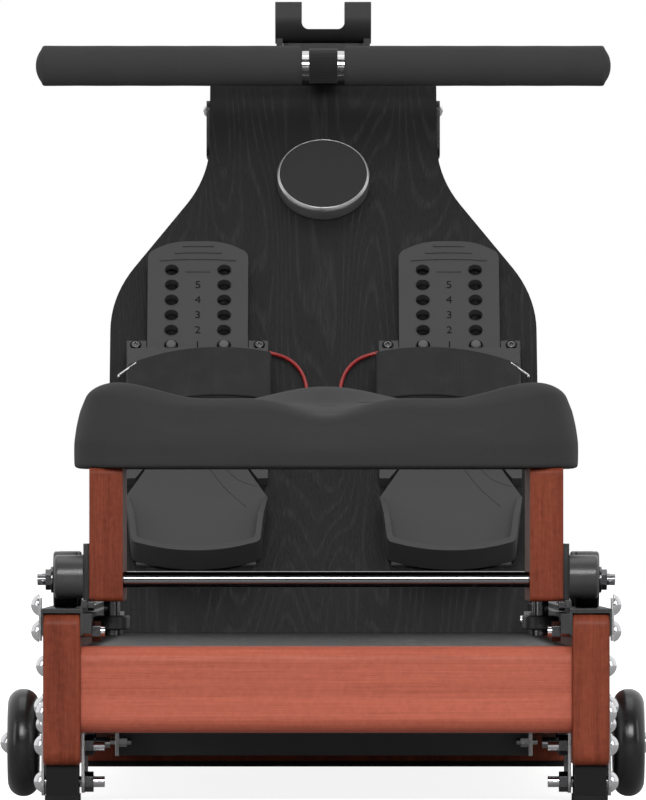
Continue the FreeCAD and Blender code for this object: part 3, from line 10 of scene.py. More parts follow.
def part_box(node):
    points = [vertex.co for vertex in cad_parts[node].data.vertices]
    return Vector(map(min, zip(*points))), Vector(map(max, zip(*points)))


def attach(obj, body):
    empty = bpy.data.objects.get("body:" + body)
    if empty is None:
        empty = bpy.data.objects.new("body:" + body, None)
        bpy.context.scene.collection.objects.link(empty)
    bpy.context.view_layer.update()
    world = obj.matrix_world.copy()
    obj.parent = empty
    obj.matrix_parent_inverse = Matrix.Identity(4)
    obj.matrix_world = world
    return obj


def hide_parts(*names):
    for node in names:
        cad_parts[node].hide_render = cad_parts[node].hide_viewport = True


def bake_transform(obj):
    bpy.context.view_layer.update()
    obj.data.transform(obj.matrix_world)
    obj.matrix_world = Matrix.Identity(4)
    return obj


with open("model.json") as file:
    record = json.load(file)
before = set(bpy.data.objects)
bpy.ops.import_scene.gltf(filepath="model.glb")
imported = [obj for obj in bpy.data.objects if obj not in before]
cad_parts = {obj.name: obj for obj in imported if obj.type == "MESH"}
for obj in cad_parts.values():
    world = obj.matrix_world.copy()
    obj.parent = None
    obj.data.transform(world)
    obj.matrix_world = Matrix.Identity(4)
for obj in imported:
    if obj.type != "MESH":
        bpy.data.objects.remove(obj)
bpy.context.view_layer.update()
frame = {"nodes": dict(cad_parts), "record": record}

# Home rowing machine: +X is the rower's right, +Y runs from the seat to the foot board,
# +Z is up, and the origin is on the floor. Sizes are metres.

SIDES = (("left", -1), ("right", 1))
ACROSS = Vector((1, 0, 0))
BOARD_TILT = math.radians(52)
BOARD_FOOT = Vector((0, 0.408, 0.112))
BOARD = Matrix.Translation(BOARD_FOOT) @ Matrix.Rotation(BOARD_TILT, 4, "X")

# Heights out of the board's face, and distances up it from its foot.
BASE_TOP = 0.011
SLIDER_TOP = 0.0103
FIRST_HOLE = 0.3014
HOLE_PITCH = 0.0166
HOLE_OUT = 0.0225
HOLES = 6
DIAL_UP = 0.487


def on_board(x, up, out):
    """The place x across the sloping foot board, up its slope and out from its face."""
    return BOARD @ Vector((x, up, out))


# ---------------------------------------------------------------- materials


class Finish:
    """A material under construction; each call adds a node and gives its output."""

    def __init__(self, name, turn=(0, 0, 0), rounding=0.0008):
        self.material = bpy.data.materials.new(name)
        self.material.use_nodes = True
        self.tree = self.material.node_tree
        self.shader = self.tree.nodes["Principled BSDF"]
        self.turn = turn
        self.soft = self.node("ShaderNodeBevel", {"Radius": rounding}, samples=4).outputs[0]

    def node(self, kind, sockets, **settings):
        made = self.tree.nodes.new(kind)
        for name, value in settings.items():
            setattr(made, name, value)
        for name, value in sockets.items():
            self.plug(made.inputs[name], value)
        return made

    def plug(self, socket, value):
        if isinstance(value, bpy.types.NodeSocket):
            self.tree.links.new(value, socket)
        else:
            socket.default_value = value

    def shade(self, **values):
        for name, value in values.items():
            label = name.replace("_", " ").title().replace("Ior", "IOR")
            self.plug(self.shader.inputs[label], value)

    def spot(self, unit):
        """The surface point along the piece's own axes, counted in units (metres, or three of them)."""
        unit = unit if isinstance(unit, tuple) else (unit, unit, unit)
        here = self.node("ShaderNodeTexCoord", {}).outputs["Object"]
        sockets = {"Vector": here, "Rotation": self.turn, "Scale": unit}
        return self.node("ShaderNodeMapping", sockets, vector_type="TEXTURE").outputs[0]

    def noise(self, unit, detail=3, distortion=0.0, roughness=0.5):
        sockets = {
            "Vector": self.spot(unit),
            "Scale": 1.0,
            "Detail": detail,
            "Distortion": distortion,
            "Roughness": roughness,
        }
        return self.node("ShaderNodeTexNoise", sockets).outputs["Fac"]

    def wave(self, unit, direction, distortion, detail):
        """Bands that repeat once per unit."""
        sockets = {
            "Vector": self.spot(unit),
            "Scale": math.tau / 20,
            "Distortion": distortion,
            "Detail": detail,
        }
        return self.node("ShaderNodeTexWave", sockets, bands_direction=direction).outputs["Fac"]

    def cells(self, unit):
        sockets = {"Vector": self.spot(unit), "Scale": 1.0}
        return self.node("ShaderNodeTexVoronoi", sockets).outputs["Distance"]

    def ramp(self, amount, low, high, start=0.0, end=1.0):
        """low where amount is start, high where it is end."""
        sockets = {
            "Value": amount,
            "From Min": start,
            "From Max": end,
            "To Min": low,
            "To Max": high,
        }
        return self.node("ShaderNodeMapRange", sockets).outputs["Result"]

    def sum(self, first, second, operation="ADD"):
        made = self.node("ShaderNodeMath", {}, operation=operation)
        self.plug(made.inputs[0], first)
        self.plug(made.inputs[1], second)
        return made.outputs[0]

    def blend(self, amount, first, second):
        made = self.node("ShaderNodeMix", {}, data_type="RGBA")
        self.plug(made.inputs["Factor"], amount)
        # A Mix node's colour sockets come after those for numbers and vectors.
        for socket, value in ((made.inputs[6], first), (made.inputs[7], second)):
            if not isinstance(value, bpy.types.NodeSocket):
                value = (*value, 1)
            self.plug(socket, value)
        return made.outputs[2]

    def bump(self, height, depth):
        """Relief of depth metres over the softly rounded edges."""
        sockets = {"Height": height, "Distance": depth, "Normal": self.soft}
        return self.node("ShaderNodeBump", sockets).outputs["Normal"]

    def worn(self, colour, bare, amount=0.6):
        """colour with bare showing along the edges, in patches."""
        true = self.node("ShaderNodeNewGeometry", {}).outputs["Normal"]
        made = self.node("ShaderNodeVectorMath", {}, operation="DOT_PRODUCT")
        self.plug(made.inputs[0], true)
        self.plug(made.inputs[1], self.soft)
        edge = self.ramp(made.outputs["Value"], 1.0, 0.0, 0.8, 0.995)
        patches = self.sum(edge, self.ramp(self.noise(0.006, 4), 0.2, 1.0, 0.35, 0.65), "MULTIPLY")
        return self.blend(self.ramp(patches, 0.0, amount, 0.1, 0.7), colour, bare)


def wood(name, dark, light, unit):
    """Oiled hardwood whose fibres run along the long side of unit."""
    f = Finish(name, rounding=0.0015)
    gloss, pore = 0.38, 0.5
    ux, uy, uz = unit
    figure = f.noise((ux * 12, uy * 1.2, uz * 12), 3, 0.6)
    streak = f.noise((ux, uy, uz), 4, 0.15, 0.65)
    fibre = f.noise((ux * 0.3, uy * 0.12, uz * 0.3), 2)
    mottle = f.noise(0.004, 3, 0.4)
    tone = f.sum(f.ramp(figure, 0.0, 0.45, 0.3, 0.7), f.ramp(streak, 0.0, 0.45, 0.3, 0.7))
    tone = f.sum(tone, f.ramp(mottle, -0.1, 0.15, 0.3, 0.7))
    base = f.blend(tone, dark, light)
    pores = f.ramp(fibre, 0.0, pore, 0.62, 0.74)
    base = f.blend(pores, base, tuple(c * 0.5 for c in dark))
    height = f.sum(streak, f.ramp(fibre, 0.6, 0.0, 0.55, 0.75))
    f.shade(
        base_color=f.worn(base, light, 0.5),
        roughness=f.ramp(streak, gloss - 0.06, gloss + 0.14),
        specular_ior_level=0.12,
        coat_weight=0.03,
        coat_roughness=0.3,
        normal=f.bump(height, 0.00012),
    )
    return f.material


def stained_oak(name, turn, relief=0.0002, gloss=0.5, stain=0.0115, lit=0.05):
    """Black-stained oak: growth lines in long arches, broken up, with open pores between them."""
    f = Finish(name, turn, 0.002)
    arches = f.sum(f.noise((0.08, 0.6, 0.3), 1, 0.3), 190.0, "MULTIPLY")
    rings = f.sum(arches, 0.0, "SINE")
    broken = f.noise((0.0022, 0.03, 0.006), 4, 0.2, 0.65)
    pores = f.noise((0.0006, 0.006, 0.002), 2)
    cloud = f.noise((0.03, 0.12, 0.06), 3)
    lines = f.sum(f.ramp(rings, 0, 1, 0.35, 0.98), f.ramp(broken, 0.1, 1, 0.4, 0.62), "MULTIPLY")
    # stain and lit set the wood's own tones; the deck's raised values for both paint glints of light
    # along its grain.
    base = f.blend(f.ramp(cloud, 0, 0.4), (stain, stain, stain * 1.04), (stain * 1.8,) * 3)
    base = f.blend(f.sum(lines, 0.42, "MULTIPLY"), base, (lit, lit, lit))
    base = f.blend(f.ramp(pores, 0, 0.6, 0.6, 0.72), base, (stain * 0.4,) * 3)
    height = f.sum(lines, f.ramp(pores, 0.8, 0.0, 0.5, 0.72))
    f.shade(
        base_color=base,
        roughness=f.ramp(broken, gloss - 0.08, gloss + 0.15),
        specular_ior_level=0.22,
        normal=f.bump(height, relief),
    )
    return f.material


def plastic(name, colour, rough=0.5, grain=0.0008, depth=0.00006, edge=0.12, spec=0.4):
    """Moulded plastic with a fine spark-eroded grain and slightly rubbed edges."""
    f = Finish(name)
    light = tuple(min(1, c + edge) for c in colour)
    clouds = f.noise(0.03, 4)
    base = f.blend(f.ramp(clouds, 0.0, 0.25), colour, light)
    base = f.worn(base, light)
    height = f.sum(f.noise(grain, 2), f.ramp(f.cells(grain * 1.7), 0.0, 0.6))
    f.shade(
        base_color=base,
        roughness=f.ramp(clouds, rough - 0.06, rough + 0.08),
        specular_ior_level=spec,
        normal=f.bump(height, depth),
    )
    return f.material


def powder(name, colour):
    """Powder-coated steel, with a fine orange peel and worn corners."""
    f = Finish(name)
    rough, bare = 0.42, (0.3, 0.3, 0.3)
    peel = f.noise(0.0012, 2)
    clouds = f.noise(0.05, 4)
    base = f.blend(f.ramp(clouds, 0, 0.4), colour, tuple(c * 1.7 + 0.01 for c in colour))
    f.shade(
        base_color=f.worn(base, bare, 0.5),
        roughness=f.ramp(clouds, rough - 0.07, rough + 0.1),
        normal=f.bump(peel, 0.00009),
    )
    return f.material


def metal(name, colour, rough, unit=(0.0004, 0.03, 0.0004), streak=0.12):
    """Bare metal, brushed along the long side of unit, with faint stains."""
    f = Finish(name)
    depth = 0.00002
    lines = f.noise(unit, 3)
    stain = f.noise(0.02, 5, 0.5)
    scratch = f.ramp(f.noise((0.0003, 0.006, 0.002), 2, 1.5), 0, 1, 0.66, 0.72)
    base = f.blend(f.ramp(stain, 0, 0.35, 0.35, 0.75), colour, tuple(c * 0.6 for c in colour))
    rough_map = f.sum(f.ramp(lines, rough - streak / 2, rough + streak), f.ramp(scratch, 0, 0.1))
    f.shade(
        base_color=base,
        metallic=1.0,
        roughness=rough_map,
        normal=f.bump(f.sum(lines, scratch), depth),
    )
    return f.material


def rubber(name, colour, rough=0.62, grain=0.0011, depth=0.0001, spec=0.35):
    """Solid rubber or urethane with a matte, faintly dusty skin."""
    f = Finish(name)
    dust = f.noise(0.018, 5, 0.3)
    base = f.blend(f.ramp(dust, 0, 0.5, 0.45, 0.8), colour, tuple(c * 1.6 + 0.012 for c in colour))
    f.shade(
        base_color=base,
        roughness=f.ramp(dust, rough - 0.08, rough + 0.12),
        specular_ior_level=spec,
        normal=f.bump(f.noise(grain, 3), depth),
    )
    return f.material


def foam(name, colour):
    """Soft closed-cell foam with a fine open skin."""
    f = Finish(name)
    rough, grain, depth = 0.78, 0.0007, 0.00012
    cells = f.cells(grain)
    clouds = f.noise(0.04, 4)
    base = f.blend(f.ramp(clouds, 0, 0.5), colour, tuple(c * 1.35 for c in colour))
    # Pits in the skin are painted darker where the bump sinks: painted shade.
    base = f.blend(f.ramp(cells, 0.25, 0.0, 0.0, 0.5), base, tuple(c * 0.6 for c in colour))
    f.shade(
        base_color=base,
        roughness=f.ramp(clouds, rough - 0.05, rough + 0.08),
        specular_ior_level=0.1,
        sheen_weight=0.03,
        sheen_roughness=0.5,
        normal=f.bump(cells, depth),
    )
    return f.material


def webbing(name, colour, pitch):
    """Woven strap: yarns along its length, crossed by finer ones."""
    f = Finish(name)
    warp = f.wave(pitch, "Z", 0.4, 1)
    weft = f.wave(pitch * 0.55, "X", 0.4, 1)
    height = f.sum(warp, weft, "MULTIPLY")
    fuzz = f.noise(pitch * 0.3, 3)
    # The weave's valleys are painted darker and its crowns lighter, following the bump: painted shade and
    # highlight.
    base = f.blend(height, tuple(c * 0.5 for c in colour), tuple(c * 1.25 for c in colour))
    base = f.blend(f.ramp(fuzz, 0, 0.3), base, tuple(c * 1.8 for c in colour))
    f.shade(
        base_color=base,
        roughness=f.ramp(fuzz, 0.7, 0.95),
        sheen_weight=0.2,
        sheen_roughness=0.4,
        normal=f.bump(f.sum(height, f.ramp(fuzz, 0, 0.3)), 0.0003),
    )
    return f.material


def braided_cord(name, colour):
    """Glossy sheathed cord with a faint spiral lay."""
    f = Finish(name)
    lay = f.wave(0.0011, "DIAGONAL", 0.6, 1)
    # The lay's grooves are painted darker and its crowns lighter, following the bump: painted shade and
    # highlight.
    base = f.blend(lay, tuple(c * 0.8 for c in colour), tuple(min(1, c * 1.15) for c in colour))
    f.shade(
        base_color=base,
        roughness=f.ramp(f.noise(0.004, 3), 0.22, 0.38),
        coat_weight=0.4,
        coat_roughness=0.15,
        normal=f.bump(lay, 0.00004),
    )
    return f.material


SLOPE = (BOARD_TILT, 0, 0)
FINISHES = {
    "rail_wood": wood("rail_wood", (0.125, 0.025, 0.011), (0.29, 0.066, 0.034), (0.0011, 0.22, 0.03)),
    "beam_wood": wood("beam_wood", (0.35, 0.085, 0.05), (0.56, 0.148, 0.095), (0.16, 0.02, 0.0013)),
    "pan_wood": wood("pan_wood", (0.02, 0.015, 0.012), (0.05, 0.038, 0.03), (0.2, 0.002, 0.002)),
    "black_oak": stained_oak("black_oak", SLOPE),
    # The cross panel is black, but its colour is lifted to mid grey: painted light for the grey
    # reflection it shows in the shade under the beam.
    "black_panel": plastic("black_panel", (0.2, 0.2, 0.2), 0.5, 0.001, 0.00003, edge=0.05),
    "track_steel": powder("track_steel", (0.007, 0.007, 0.0075)),
    "black_steel": powder("black_steel", (0.008, 0.008, 0.0085)),
    "bright_steel": metal("bright_steel", (0.8, 0.8, 0.81), 0.22, (0.003, 0.0003, 0.02)),
    "bolt_steel": metal("bolt_steel", (0.82, 0.82, 0.84), 0.07, (0.002, 0.002, 0.002), 0.04),
    "spring_steel": metal("spring_steel", (0.4, 0.4, 0.42), 0.3),
    "chrome_bar": metal("chrome_bar", (0.8, 0.8, 0.81), 0.08, (0.05, 0.0005, 0.0005), 0.05),
    "flywheel_iron": powder("flywheel_iron", (0.03, 0.032, 0.035)),
    "dial_metal": metal("dial_metal", (0.7, 0.7, 0.705), 0.4, (0.001, 0.001, 0.001)),
    "guide_plastic": plastic("guide_plastic", (0.008, 0.008, 0.008)),
    "foot_plastic": plastic("foot_plastic", (0.004, 0.004, 0.0042), edge=0.02, spec=0.15),
    "foot_base_plastic": plastic("foot_base_plastic", (0.045, 0.045, 0.046), 0.5, edge=0.08),
    "slider_plastic": plastic("slider_plastic", (0.05, 0.05, 0.051), 0.6, edge=0.05),
    "cover_plastic": plastic("cover_plastic", (0.02, 0.02, 0.0205), edge=0.06),
    "drum_plastic": plastic("drum_plastic", (0.05, 0.05, 0.05)),
    "roller_plastic": plastic("roller_plastic", (0.012, 0.012, 0.012), 0.35),
    "guard_plastic": plastic("guard_plastic", (0.04, 0.04, 0.0405), 0.26, edge=0.12),
    "wheel_urethane": rubber("wheel_urethane", (0.01, 0.01, 0.0105), 0.32, spec=0.5),
    "foot_rubber": rubber("foot_rubber", (0.008, 0.008, 0.008), 0.85, 0.0016, 0.0005),
    "tyre_rubber": rubber("tyre_rubber", (0.012, 0.012, 0.012), 0.22, 0.0012, 0.00003, 0.5),
    "belt_rubber": rubber("belt_rubber", (0.012, 0.012, 0.012)),
    "seat_foam": foam("seat_foam", (0.035, 0.035, 0.036)),
    "grip_foam": foam("grip_foam", (0.05, 0.05, 0.0505)),
    "strap_webbing": webbing("strap_webbing", (0.012, 0.012, 0.0125), 0.0012),
    "red_cord": braided_cord("red_cord", (0.36, 0.016, 0.016)),
}
# Finishes of single nodes and pieces that differ from the rest of their slot.
# Black oak deck whose stain and growth-line tones are raised far above the foot board's: painted glints
# of the grazing reflections off its grain, over its own black stain.
DECK_OAK_PAINTED_GLINT = stained_oak("deck_oak_painted_glint", (0, 0, 0), 0.0022, 0.3, 0.022, 0.3)
DARK_NUTS = metal("dark_nuts", (0.14, 0.14, 0.145), 0.2, (0.002, 0.002, 0.002))
FOOT_BAND = rubber("foot_band", (0.021, 0.021, 0.0215), 0.66, 0.0009, 0.00008, 0.25)
DIAL_RIM = metal("dial_rim", (0.78, 0.78, 0.79), 0.3, (0.001, 0.001, 0.001))
DIAL_FACE = plastic("dial_face", (0.015, 0.015, 0.0155), 0.62, 0.0006, 0.00002, edge=0.01)
# Dark finish of the printed digits and the screw seats; on the heel it paints the shade in two grooves.
DARK_INK_AND_SHADE = plastic("dark_ink_and_shade", (0.007, 0.007, 0.007), 0.75, edge=0.006, spec=0.2)
PIN_GREY = plastic("pin_grey", (0.1, 0.1, 0.102), 0.5, edge=0.08)
WRAP_THREAD = rubber("wrap_thread", (0.035, 0.035, 0.036))
SHADED_CHROME = metal("shaded_chrome", (0.22, 0.22, 0.23), 0.05, (0.05, 0.0005, 0.0005), 0.04)
WIRE_CHROME = metal("wire_chrome", (0.85, 0.85, 0.86), 0.1, (0.002, 0.002, 0.002), 0.05)
NODE_FINISHES = {
    "deck_board": DECK_OAK_PAINTED_GLINT,
    "seat_axles": SHADED_CHROME,
    "hex_nuts": DARK_NUTS,
    "axle_nuts": DARK_NUTS,
    "stop_studs": DARK_NUTS,
    "roller_bolts": DARK_NUTS,
}

for row in frame["record"]["subparts"]:
    shown = frame["nodes"][row["node"]]
    shown.data.materials.clear()
    finish = NODE_FINISHES.get(row["node"], FINISHES[row["material_slot"]])
    shown.data.materials.append(finish)


# ---------------------------------------------------------------- mesh helpers


def mesh_piece(name, parts, slot, body, finish=None, crisp=None):
    """A new piece from (points, faces) shells, riding on body in the slot's finish."""
    points, faces = [], []
    for shell_points, shell_faces in parts:
        first = len(points)
        points += [tuple(p) for p in shell_points]
        faces += [tuple(first + i for i in face) for face in shell_faces]
    mesh = bpy.data.meshes.new(name)
    mesh.from_pydata(points, [], faces)
    mesh.validate()
    shells = bmesh.new()
    shells.from_mesh(mesh)
    bmesh.ops.recalc_face_normals(shells, faces=shells.faces)
    shells.to_mesh(mesh)
    shells.free()
    mesh.shade_smooth()
    if crisp:
        mesh.set_sharp_from_angle(angle=math.radians(crisp))
    mesh.materials.append(finish or FINISHES[slot])
    piece = bpy.data.objects.new(name, mesh)
    bpy.context.scene.collection.objects.link(piece)
    if body:
        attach(piece, body)
    return piece


def rings_mesh(rings, closed=False, caps=True):
    """Faces that join equal rings of points into a tube, with its ends capped."""
    count = len(rings[0])
    points = [p for ring in rings for p in ring]
    faces = []
    last = len(rings) if closed else len(rings) - 1
    for r in range(last):
        a, b = r * count, (r + 1) % len(rings) * count
        faces += [(a + i, a + (i + 1) % count, b + (i + 1) % count, b + i) for i in range(count)]
    if caps and not closed:
        faces.append(tuple(range(count))[::-1])
        faces.append(tuple(len(points) - count + i for i in range(count)))
    return points, faces


def level_ring(place, reach, z):
    """Points around the local Z of place at height z, evenly spaced, each at its own reach."""
    turns = [(r, math.tau * i / len(reach)) for i, r in enumerate(reach)]
    return [place @ Vector((r * math.cos(a), r * math.sin(a), z)) for r, a in turns]


def turned(profile, place, count=96, hollow=False):
    """A body of revolution: (radius, along) pairs around the local Z of place."""
    rings = [level_ring(place, [r] * count, z) for r, z in profile]
    return rings_mesh(rings, closed=hollow)


def swept(path, section, across):
    """A flat or round section carried along path, its first axis kept along across."""
    rings = []
    for i, here in enumerate(path):
        run = (path[min(i + 1, len(path) - 1)] - path[max(i - 1, 0)]).normalized()
        side = (across - run * across.dot(run)).normalized()
        out = run.cross(side)
        rings.append([here + side * u + out * v for u, v in section])
    return rings_mesh(rings)


def inset(loop, amount):
    """A closed loop of 2D points moved inwards by amount."""
    moved = []
    for i, here in enumerate(loop):
        before, after = Vector(loop[i - 1]), Vector(loop[(i + 1) % len(loop)])
        run = (after - before).normalized()
        moved.append((here[0] - run.y * amount, here[1] + run.x * amount))
    return moved


def raised(loop, low, high, bevel, place):
    """A flat solid over a loop of (x, up) points, bevelled round its top, in place's frame."""
    levels = [(0, low), (0, high - bevel), (bevel * 0.3, high - bevel * 0.3), (bevel, high)]
    rings = [[place @ Vector((*p, z)) for p in inset(loop, by)] for by, z in levels]
    return rings_mesh(rings)


def bar_loop(half, thick, arch):
    """Outline of a bar with round ends, its middle raised by arch."""
    steps, end = 16, 6

    def rise(x):
        return arch * (1 - (x / half) ** 2)

    r = thick / 2
    span = [half - r - 2 * (half - r) * i / steps for i in range(steps + 1)]
    top = [(x, r + rise(x)) for x in span]
    bottom = [(x, -r + rise(x)) for x in reversed(span)]
    arc = [math.pi * (i + 1) / (end + 1) for i in range(end)]
    left = [(-half + r - r * math.sin(a), r * math.cos(a) + rise(half)) for a in arc]
    right = [(half - r + r * math.sin(a), -r * math.cos(a) + rise(half)) for a in arc]
    return top + left + bottom + right


def strap_section(width, thick, steps=6):
    """A flat strap's outline with fully rounded edges."""
    half, r = width / 2 - thick / 2, thick / 2
    arc = [math.pi * i / steps - math.pi / 2 for i in range(steps + 1)]
    right = [(half + r * math.cos(a), r * math.sin(a)) for a in arc]
    left = [(-half - r * math.cos(a), -r * math.sin(a)) for a in arc]
    return right + left


def round_section(radius, steps=12):
    return [
        (radius * math.cos(math.tau * i / steps), radius * math.sin(math.tau * i / steps))
        for i in range(steps)
    ]


# ---------------------------------------------------------------- seat


def smooth(amount):
    amount = min(1, max(0, amount))
    return amount * amount * (3 - 2 * amount)


def seat_top(x, along, top):
    """Height of the moulded top at x; along goes from 0 at the rear to 1 at the front."""
    x = abs(x)
    rear_drop, notch, notch_half = 0.010, 0.013, 0.031
    front_drop, hump, hump_half = 0.015, 0.015, 0.057
    side_lift = 0.0135 * smooth((x - 0.092) / 0.066)
    rear = top - rear_drop - notch * math.exp(-((x / notch_half) ** 2)) + side_lift
    front = top - front_drop + hump * math.exp(-((x / hump_half) ** 2)) + side_lift
    share = 0.35 * min(1, along / 0.55) + 0.65 * smooth((along - 0.55) / 0.37)
    hollow = math.exp(-(((x - 0.078) / 0.036) ** 2)) * math.exp(-(((along - 0.46) / 0.24) ** 2))
    cheek = smooth((x - 0.1) / 0.05) * math.exp(-(((along - 0.5) / 0.3) ** 2))
    return min(top + 0.0025, rear + (front - rear) * share - 0.011 * hollow - 0.006 * cheek)


def seat_lean(up):
    """Share of the wall's whole lean at a share of its height: straight, leaning, then crisp."""
    slow = 0.45 * max(0, (up - 0.3) / 0.7) ** 1.1
    rim = max(0, (up - 0.86) / 0.14)
    return slow + 0.55 * (1 - math.sqrt(1 - rim * rim))


def seat_outline(angle, half_x, half_y, squareness=5.2):
    c, s = math.cos(angle), math.sin(angle)
    r = (abs(c) ** squareness + abs(s) ** squareness) ** (-1 / squareness)
    return half_x * r * c, half_y * r * s


def swell(piece, pressure, most, held_below):
    """Simulate the piece's skin as inflated cloth, moving no point further than most."""
    mesh = piece.data
    start = np.array([v.co for v in mesh.vertices])
    held = piece.vertex_groups.new(name="held")
    held.add([int(i) for i in np.nonzero(start[:, 2] < held_below)[0]], 1.0, "REPLACE")
    skin = piece.modifiers.new("skin", "CLOTH")
    skin.settings.use_pressure = True
    skin.settings.uniform_pressure_force = pressure
    skin.settings.effector_weights.gravity = 0
    skin.settings.vertex_group_mass = "held"
    skin.settings.tension_stiffness = 25
    skin.settings.compression_stiffness = 25
    skin.settings.bending_stiffness = 1.5
    scene = bpy.context.scene
    settled = 20
    for number in range(1, settled + 1):
        scene.frame_set(number)
    shaped = piece.evaluated_get(bpy.context.evaluated_depsgraph_get()).data
    move = np.array([v.co for v in shaped.vertices]) - start
    piece.modifiers.remove(skin)
    piece.vertex_groups.clear()
    reach = np.linalg.norm(move, axis=1, keepdims=True)
    move *= np.minimum(1, most / np.maximum(reach, 1e-9))
    mesh.vertices.foreach_set("co", (start + move).ravel())
    mesh.update()
    scene.frame_set(1)


def seat_cushion():
    """Moulded foam seat: straight hem, walls that lean in, dished top with a rear notch."""
    low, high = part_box("seat_cushion")
    mid, half = (low + high) / 2, (high - low) / 2
    swelling = 0.0012
    half = half - Vector((swelling, swelling, 0))
    top = high.z - swelling
    count, wall_steps, top_steps = 208, 26, 26
    lean, hem = 0.0205, 0.0016
    pressure, held_height = 4.0, 0.004
    angles = [math.tau * i / count for i in range(count)]

    def ring(inset_by, height_at):
        spots = [seat_outline(a, half.x - inset_by, half.y - inset_by) for a in angles]
        return [Vector((mid.x + x, mid.y + y, height_at(x, y))) for x, y in spots]

    def top_at(x, y):
        return seat_top(x, 0.5 + y / (2 * half.y), top)

    rings = [ring(by, lambda x, y: low.z) for by in (0.09, 0.06, 0.03, 0.008, hem)]
    for step in range(wall_steps + 1):
        up = 1 - (1 - step / wall_steps) ** 1.6
        rim = ring(lean, top_at)
        wall = ring(lean * seat_lean(up), lambda x, y: low.z)
        for spot, edge in zip(wall, rim):
            spot.z = low.z + hem + (edge.z - low.z - hem) * up
        rings.append(wall)
    for step in range(1, top_steps + 1):
        share = step / (top_steps + 1)
        spots = [seat_outline(a, half.x - lean, half.y - lean) for a in angles]
        spots = [(x * (1 - share), y * (1 - share)) for x, y in spots]
        rings.append([Vector((mid.x + x, mid.y + y, top_at(x, y))) for x, y in spots])
    piece = mesh_piece("seat_pad", [rings_mesh(rings)], "seat_foam", None)
    swell(piece, pressure, swelling, low.z + held_height)
    finer = piece.modifiers.new("finer", "SUBSURF")
    finer.levels = 1
    finer.render_levels = 1
    finer.use_limit_surface = False
    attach(piece, "seat")
    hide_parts("seat_cushion")


# ---------------------------------------------------------------- handle


def grips():
    """Foam grips with shallow crowned outer ends and softly rounded inner ends."""
    low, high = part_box("handle_grips")
    centre = (low + high) / 2
    radius = (high.z - low.z) / 2
    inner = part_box("handle_loop")[1].x + 0.0059
    bore, lip, crown, body_steps, cap_steps = 0.0131, 0.0028, 0.0052, 24, 14
    length = high.x - inner
    arc = [math.pi / 2 * i / 8 for i in range(9)]
    for side, sign in SIDES:
        profile = [(bore, 0.004), (bore, 0.0005)]
        profile += [(radius - lip + lip * math.sin(a), lip - lip * math.cos(a)) for a in arc]
        body_length = length - crown - 2 * lip
        for k in range(1, body_steps):
            ripple = 0.00006 * math.sin(5 * k) - 0.0001
            profile.append((radius + ripple, lip + body_length * k / body_steps))
        shoulder = length - crown - lip
        profile += [(radius - lip + lip * math.cos(a), shoulder + lip * math.sin(a)) for a in arc[:-1]]
        cap = radius - lip
        rise = [i / cap_steps for i in range(1, cap_steps)]
        profile += [(cap * (1 - t), shoulder + lip + crown * (1 - (1 - t) ** 2.2)) for t in rise]
        turn = Matrix.Rotation(sign * math.pi / 2, 4, "Y")
        place = Matrix.Translation((sign * inner, centre.y, centre.z)) @ turn
        piece = mesh_piece(f"{side}_grip", [turned(profile, place)], "grip_foam", "handle")
        if side == "left":
            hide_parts("handle_grips")


def handle_loop():
    """Webbing sewn round the tube: a wrap with two stitched plies running back to the strap."""
    low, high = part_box("handle_loop")
    tube_low, tube_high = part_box("handle_tube")
    axis = (tube_low + tube_high) / 2
    tube_radius = (tube_high.z - tube_low.z) / 2
    thick = 0.0017
    ride_radius = tube_radius + 0.0003 + thick / 2
    width = high.x - low.x
    tail = high.y - 0.0006
    gather = Vector((0, axis.y + tube_radius + 0.0062, 0))
    path = [Vector((0, tail, axis.z + thick * 0.55))]
    path.append(Vector((0, gather.y, axis.z + thick * 0.75)))
    turn_from = math.radians(38)
    for i in range(41):
        a = turn_from + (math.tau - 2 * turn_from) * i / 40
        path.append(Vector((0, axis.y + ride_radius * math.cos(a), axis.z + ride_radius * math.sin(a))))
    path.append(Vector((0, gather.y, axis.z - thick * 0.75)))
    path.append(Vector((0, tail, axis.z - thick * 0.55)))
    shell = swept(path, strap_section(width, thick), ACROSS)
    stitches = []
    for x in (-width * 0.36, -width * 0.12, width * 0.12, width * 0.36):
        for face in (1, -1):
            spot = Vector((x, (tail + gather.y) / 2, axis.z + face * (thick * 1.05)))
            run = [spot + Vector((0, y, 0)) for y in (-0.0018, 0.0, 0.0018)]
            stitches.append(swept(run, round_section(0.0003, 6), ACROSS))
    wrap = mesh_piece("handle_wrap", [shell], "strap_webbing", "handle", crisp=50)
    mesh_piece("handle_stitches", stitches, "strap_webbing", "handle", WRAP_THREAD)
    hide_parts("handle_loop")


def pull_strap():
    """Webbing between the handle's loop and the guide roller, which pays out as it is pulled."""
    low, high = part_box("pull_strap")
    thick = 0.0016
    steps = 60
    height = (low.z + high.z) / 2
    path = [Vector((0, low.y + (high.y - low.y) * i / steps, height)) for i in range(steps + 1)]
    shell = swept(path, strap_section(high.x - low.x, thick), ACROSS)
    piece = mesh_piece("pull_webbing", [shell], "strap_webbing", None, crisp=50)
    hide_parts("pull_strap")
    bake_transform(piece)


# ---------------------------------------------------------------- resistance dial


